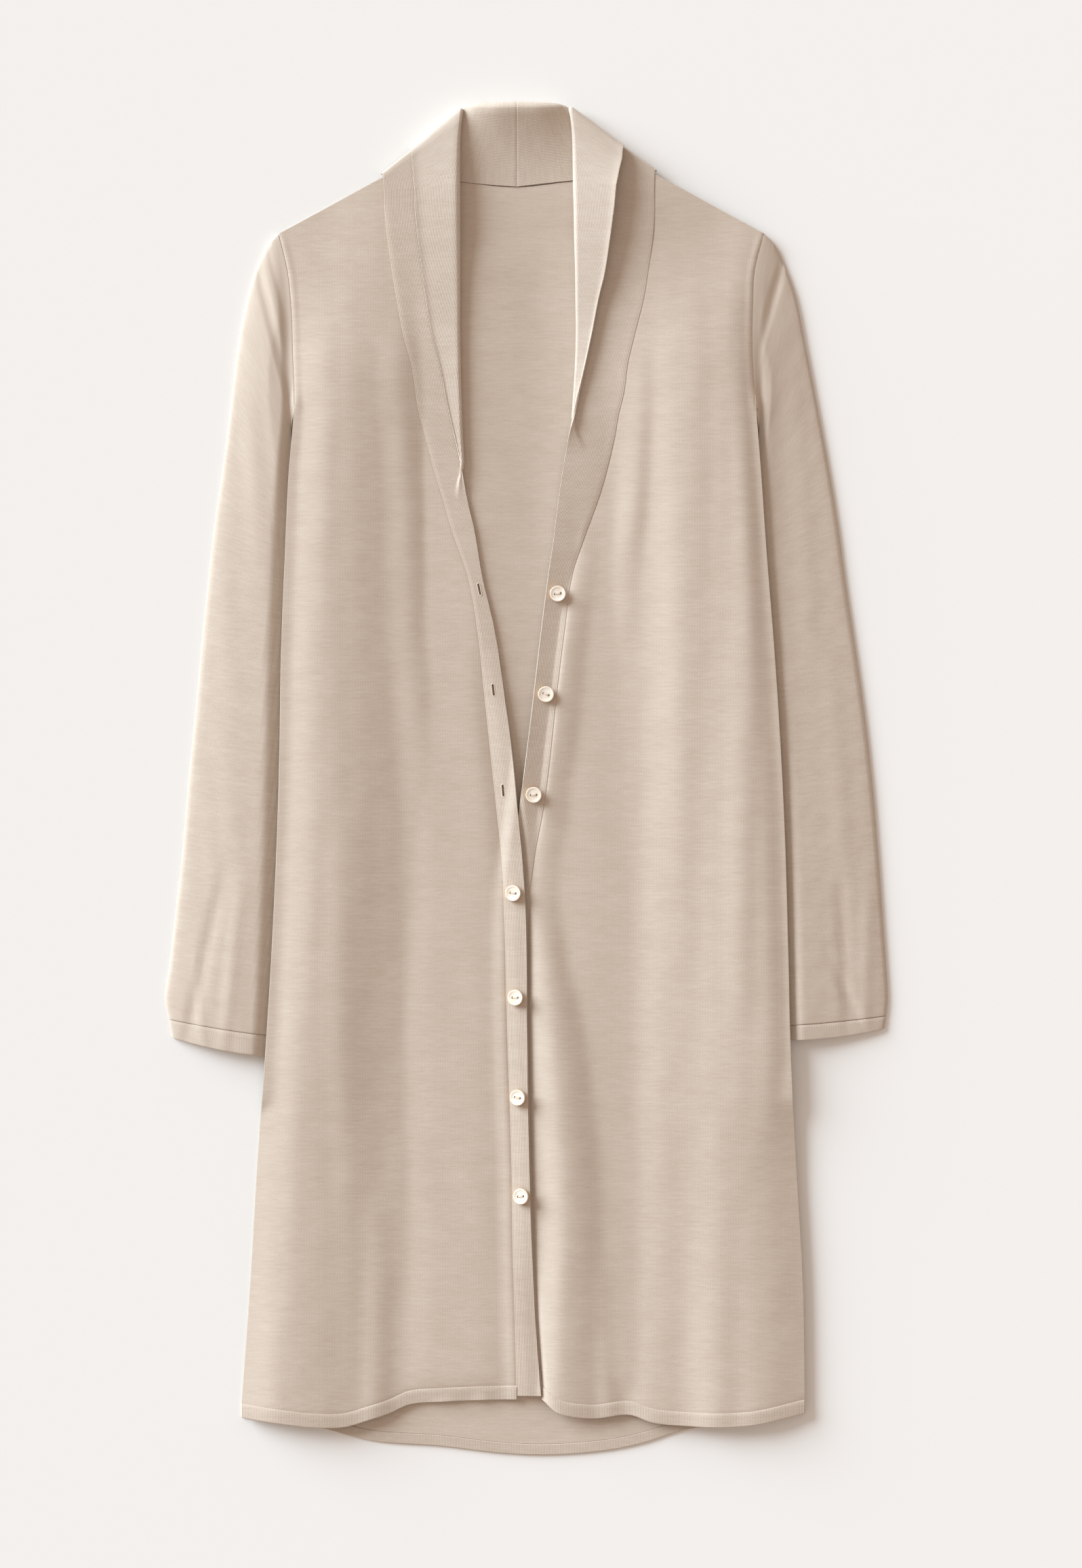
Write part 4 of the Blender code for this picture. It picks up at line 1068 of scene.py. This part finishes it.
def sew_buttons(shell, thread):
    """A copy of the button and its thread at each place, resting on the band below it."""
    disc = model_button(shell)
    stitches = thread_piece("thread", thread)
    for number, (x, y, tilt, passed) in enumerate(BUTTONS, 1):
        side = RIGHT if passed else LEFT
        t = math.radians(tilt)
        spread = 0.5 * BUTTON_D - 1.0
        spots = [(x + spread * c, y + 0.7 * spread * k) for c in (-1, 0, 1) for k in (-1, 0, 1)]
        seat = max(float(front_height(side, np.array(px), np.array(py)))
                   + (px - x) * math.tan(t) for px, py in spots)
        turn = math.radians(BUTTON_TURNS[number - 1])
        place = (Matrix.Translation(spot(x, y, seat + BAND + 0.2)) @ Matrix.Rotation(t, 4, "Y")
                 @ Matrix.Rotation(turn, 4, "Z"))
        node = "button_" + str(number)
        for pattern, name in ((disc, node + "_shell"), (stitches, node + "_thread")):
            copy = bpy.data.objects.new(name, pattern.data.copy())
            bpy.context.collection.objects.link(copy)
            copy.data.transform(place)
            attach(copy, "root")
            if pattern is disc:
                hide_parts(node)
    for pattern in (disc, stitches):
        bpy.data.objects.remove(pattern, do_unlink=True)


# Materials

def new_material(name):
    """A material with its nodes, its links and its shader."""
    material = bpy.data.materials.new(name)
    material.use_nodes = True
    nodes, links = material.node_tree.nodes, material.node_tree.links
    return material, nodes, links, nodes["Principled BSDF"]


def set_inputs(node, **values):
    """Sets inputs by name, with _ for a space."""
    for name, value in values.items():
        node.inputs[name.replace("_", " ")].default_value = value


def tones(nodes, links, source, low, high, first, last):
    """One colour at low and below, and another at high and above."""
    ramp = nodes.new("ShaderNodeValToRGB")
    start, end = ramp.color_ramp.elements
    start.position, start.color = low, (*first, 1.0)
    end.position, end.color = high, (*last, 1.0)
    links.new(source, ramp.inputs["Fac"])
    return ramp.outputs["Color"]


def clouds(nodes, links, scale):
    """Soft noise that stays with the piece."""
    place = nodes.new("ShaderNodeTexCoord")
    noise = nodes.new("ShaderNodeTexNoise")
    set_inputs(noise, Scale=scale, Detail=2.0)
    links.new(place.outputs["Object"], noise.inputs["Vector"])
    return noise.outputs["Fac"]


def knit_material(name, shade, wale, wale_depth, grain_depth, reverse_and_painted_light_tint=None):
    """Heathered yarn: streaks along the courses, wales along the length, on the cloth map."""
    material, nodes, links, shader = new_material(name)
    place = nodes.new("ShaderNodeUVMap")
    place.uv_map = "cloth"

    def stretched(scale_x, scale_y):
        mapping = nodes.new("ShaderNodeMapping")
        mapping.inputs["Scale"].default_value = (scale_x, scale_y, 1.0)
        links.new(place.outputs["UV"], mapping.inputs["Vector"])
        return mapping.outputs["Vector"]

    def streaks(scale_x, scale_y, detail, roughness):
        noise = nodes.new("ShaderNodeTexNoise")
        set_inputs(noise, Scale=1.0, Detail=detail, Roughness=roughness)
        links.new(stretched(scale_x, scale_y), noise.inputs["Vector"])
        return noise.outputs["Fac"]

    def times(first, second):
        node = nodes.new("ShaderNodeMix")
        node.data_type = "RGBA"
        node.blend_type = "MULTIPLY"
        node.inputs["Factor"].default_value = 1.0
        links.new(first, node.inputs[6])
        links.new(second, node.inputs[7])
        return node.outputs[2]

    def relief(height, depth):
        node = nodes.new("ShaderNodeBump")
        set_inputs(node, Distance=depth * MM)
        links.new(height, node.inputs["Height"])
        return node

    yarn = tones(nodes, links, streaks(80.0, 620.0, 3.0, 0.6), 0.34, 0.66,
                 [c * shade for c in YARN_DARK], [c * shade for c in YARN_PALE])
    drift = tones(nodes, links, streaks(22.0, 90.0, 2.0, 0.5), 0.35, 0.65,
                  (0.965, 0.955, 0.945), WHITE)
    fleck = tones(nodes, links, streaks(900.0, 1300.0, 2.0, 0.6), 0.3, 0.7,
                  (0.90, 0.89, 0.88), WHITE)
    colour = times(times(yarn, drift), fleck)
    # The turned fall is tinted paler and whiter: partly the reverse face's own tone, partly
    # painted light that the lapels catch
    if reverse_and_painted_light_tint:
        over = nodes.new("ShaderNodeUVMap")
        over.uv_map = "reverse"
        parts = nodes.new("ShaderNodeSeparateXYZ")
        links.new(over.outputs["UV"], parts.inputs["Vector"])
        colour = times(colour, tones(nodes, links, parts.outputs["X"], 0.0, 1.0,
                                     WHITE, reverse_and_painted_light_tint))
    links.new(colour, shader.inputs["Base Color"])
    set_inputs(shader, Roughness=0.92, Specular_IOR_Level=0.25, Sheen_Weight=0.12,
               Sheen_Roughness=0.5)

    wave = nodes.new("ShaderNodeTexWave")
    set_inputs(wave, Scale=0.31416 / wale)
    links.new(stretched(1000.0, 1000.0), wave.inputs["Vector"])
    ribs = relief(wave.outputs["Fac"], wale_depth)
    grain = relief(streaks(500.0, 900.0, 2.0, 0.6), grain_depth)
    links.new(ribs.outputs["Normal"], grain.inputs["Normal"])
    links.new(grain.outputs["Normal"], shader.inputs["Normal"])
    return material


def shell_material():
    """Pearly shell, pale on its face and honey-coloured where the layers show at the rim."""
    material, nodes, links, shader = new_material("pearl_shell")
    tint = tones(nodes, links, clouds(nodes, links, 160.0), 0.35, 0.75,
                 (0.84, 0.78, 0.69), (0.80, 0.66, 0.50))
    layers = nodes.new("ShaderNodeNewGeometry")
    facing = nodes.new("ShaderNodeSeparateXYZ")
    links.new(layers.outputs["Normal"], facing.inputs["Vector"])
    edge = nodes.new("ShaderNodeMapRange")
    set_inputs(edge, From_Min=0.93, From_Max=0.55)
    links.new(facing.outputs["Z"], edge.inputs["Value"])
    rim = nodes.new("ShaderNodeMix")
    rim.data_type = "RGBA"
    links.new(edge.outputs["Result"], rim.inputs["Factor"])
    links.new(tint, rim.inputs[6])
    rim.inputs[7].default_value = (0.72, 0.47, 0.24, 1.0)
    links.new(rim.outputs[2], shader.inputs["Base Color"])
    set_inputs(shader, Roughness=0.22, Coat_Weight=0.4, Coat_Roughness=0.08)
    return material


def thread_material():
    """Matte sewing thread, uneven along its twist."""
    material, nodes, links, shader = new_material("sewing_thread")
    tint = tones(nodes, links, clouds(nodes, links, 2600.0), 0.0, 1.0,
                 (0.62, 0.50, 0.38), (0.78, 0.67, 0.54))
    links.new(tint, shader.inputs["Base Color"])
    set_inputs(shader, Roughness=0.85)
    return material


def floor_material():
    """Plain matte paper, nearly white."""
    material, _, _, shader = new_material("paper_floor")
    set_inputs(shader, Base_Color=(0.868, 0.860, 0.831, 1.0), Roughness=1.0,
               Specular_IOR_Level=0.0)
    return material


# Stage

def build_floor():
    deselect()
    bpy.ops.mesh.primitive_plane_add(size=9.0, location=(0.0, 0.0, -0.0003))
    floor = bpy.context.object
    floor.name = "floor"
    floor.data.materials.append(floor_material())


def place_camera():
    """Straight above the garment, as far off as the photograph's flat view asks."""
    camera = bpy.data.objects.new("camera", bpy.data.cameras.new("camera"))
    bpy.context.collection.objects.link(camera)
    camera.location = (*spot(10.5, -4.3, 0.0)[:2], CAMERA_UP)
    camera.data.sensor_fit = "VERTICAL"
    camera.data.sensor_height = 36.0
    camera.data.lens = 36.0 * CAMERA_UP / VIEW_TALL
    camera.data.clip_end = 30.0
    bpy.context.scene.camera = camera


def light_room():
    """A broad low window at the upper left and a warm, even room."""
    sun = bpy.data.lights.new("window", "SUN")
    sun.energy = 7.4
    sun.angle = math.radians(44.0)
    sun.color = (0.875, 1.015, 1.14)
    lamp = bpy.data.objects.new("window", sun)
    bpy.context.collection.objects.link(lamp)
    azimuth, height = math.radians(147.0), math.radians(12.0)
    away = Vector((math.cos(azimuth) * math.cos(height), math.sin(azimuth) * math.cos(height),
                   math.sin(height)))
    lamp.rotation_euler = away.to_track_quat("Z", "Y").to_euler()
    world = bpy.data.worlds.new("studio")
    bpy.context.scene.world = world
    world.use_nodes = True
    back = world.node_tree.nodes["Background"]
    set_inputs(back, Color=(1.0, 0.83, 0.73, 1.0), Strength=0.59)
    bpy.context.scene.view_settings.view_transform = "Standard"


def main():
    """Stage, cloth from the bottom up, and buttons."""
    build_floor()
    place_camera()
    light_room()
    knit = knit_material("heather_knit", 0.82, 1.3, 0.02, 0.04)
    band = knit_material("heather_band_knit", 0.81, 1.25, 0.07, 0.04)
    # The collar's turned fall is tinted paler: partly its reverse face, partly painted light
    collar = knit_material("heather_collar_knit", 0.81, 1.25, 0.07, 0.04, (1.03, 1.045, 1.06))
    thread = thread_material()
    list(build_back(knit, band))
    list(build_front("front_right", "hem_front_right", RIGHT, knit, band))
    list(build_front("front_left", "hem_front_left", LEFT, knit, band))
    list(build_sleeve("sleeve_right", "cuff_right", RIGHT, knit, band))
    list(build_sleeve("sleeve_left", "cuff_left", LEFT, knit, band))
    lapping = build_collar("collar_right", RIGHT, collar)
    work_buttonholes(lapping, thread)
    build_collar("collar_left", LEFT, collar)
    sew_buttons(shell_material(), thread)


main()
bpy.context.view_layer.update()
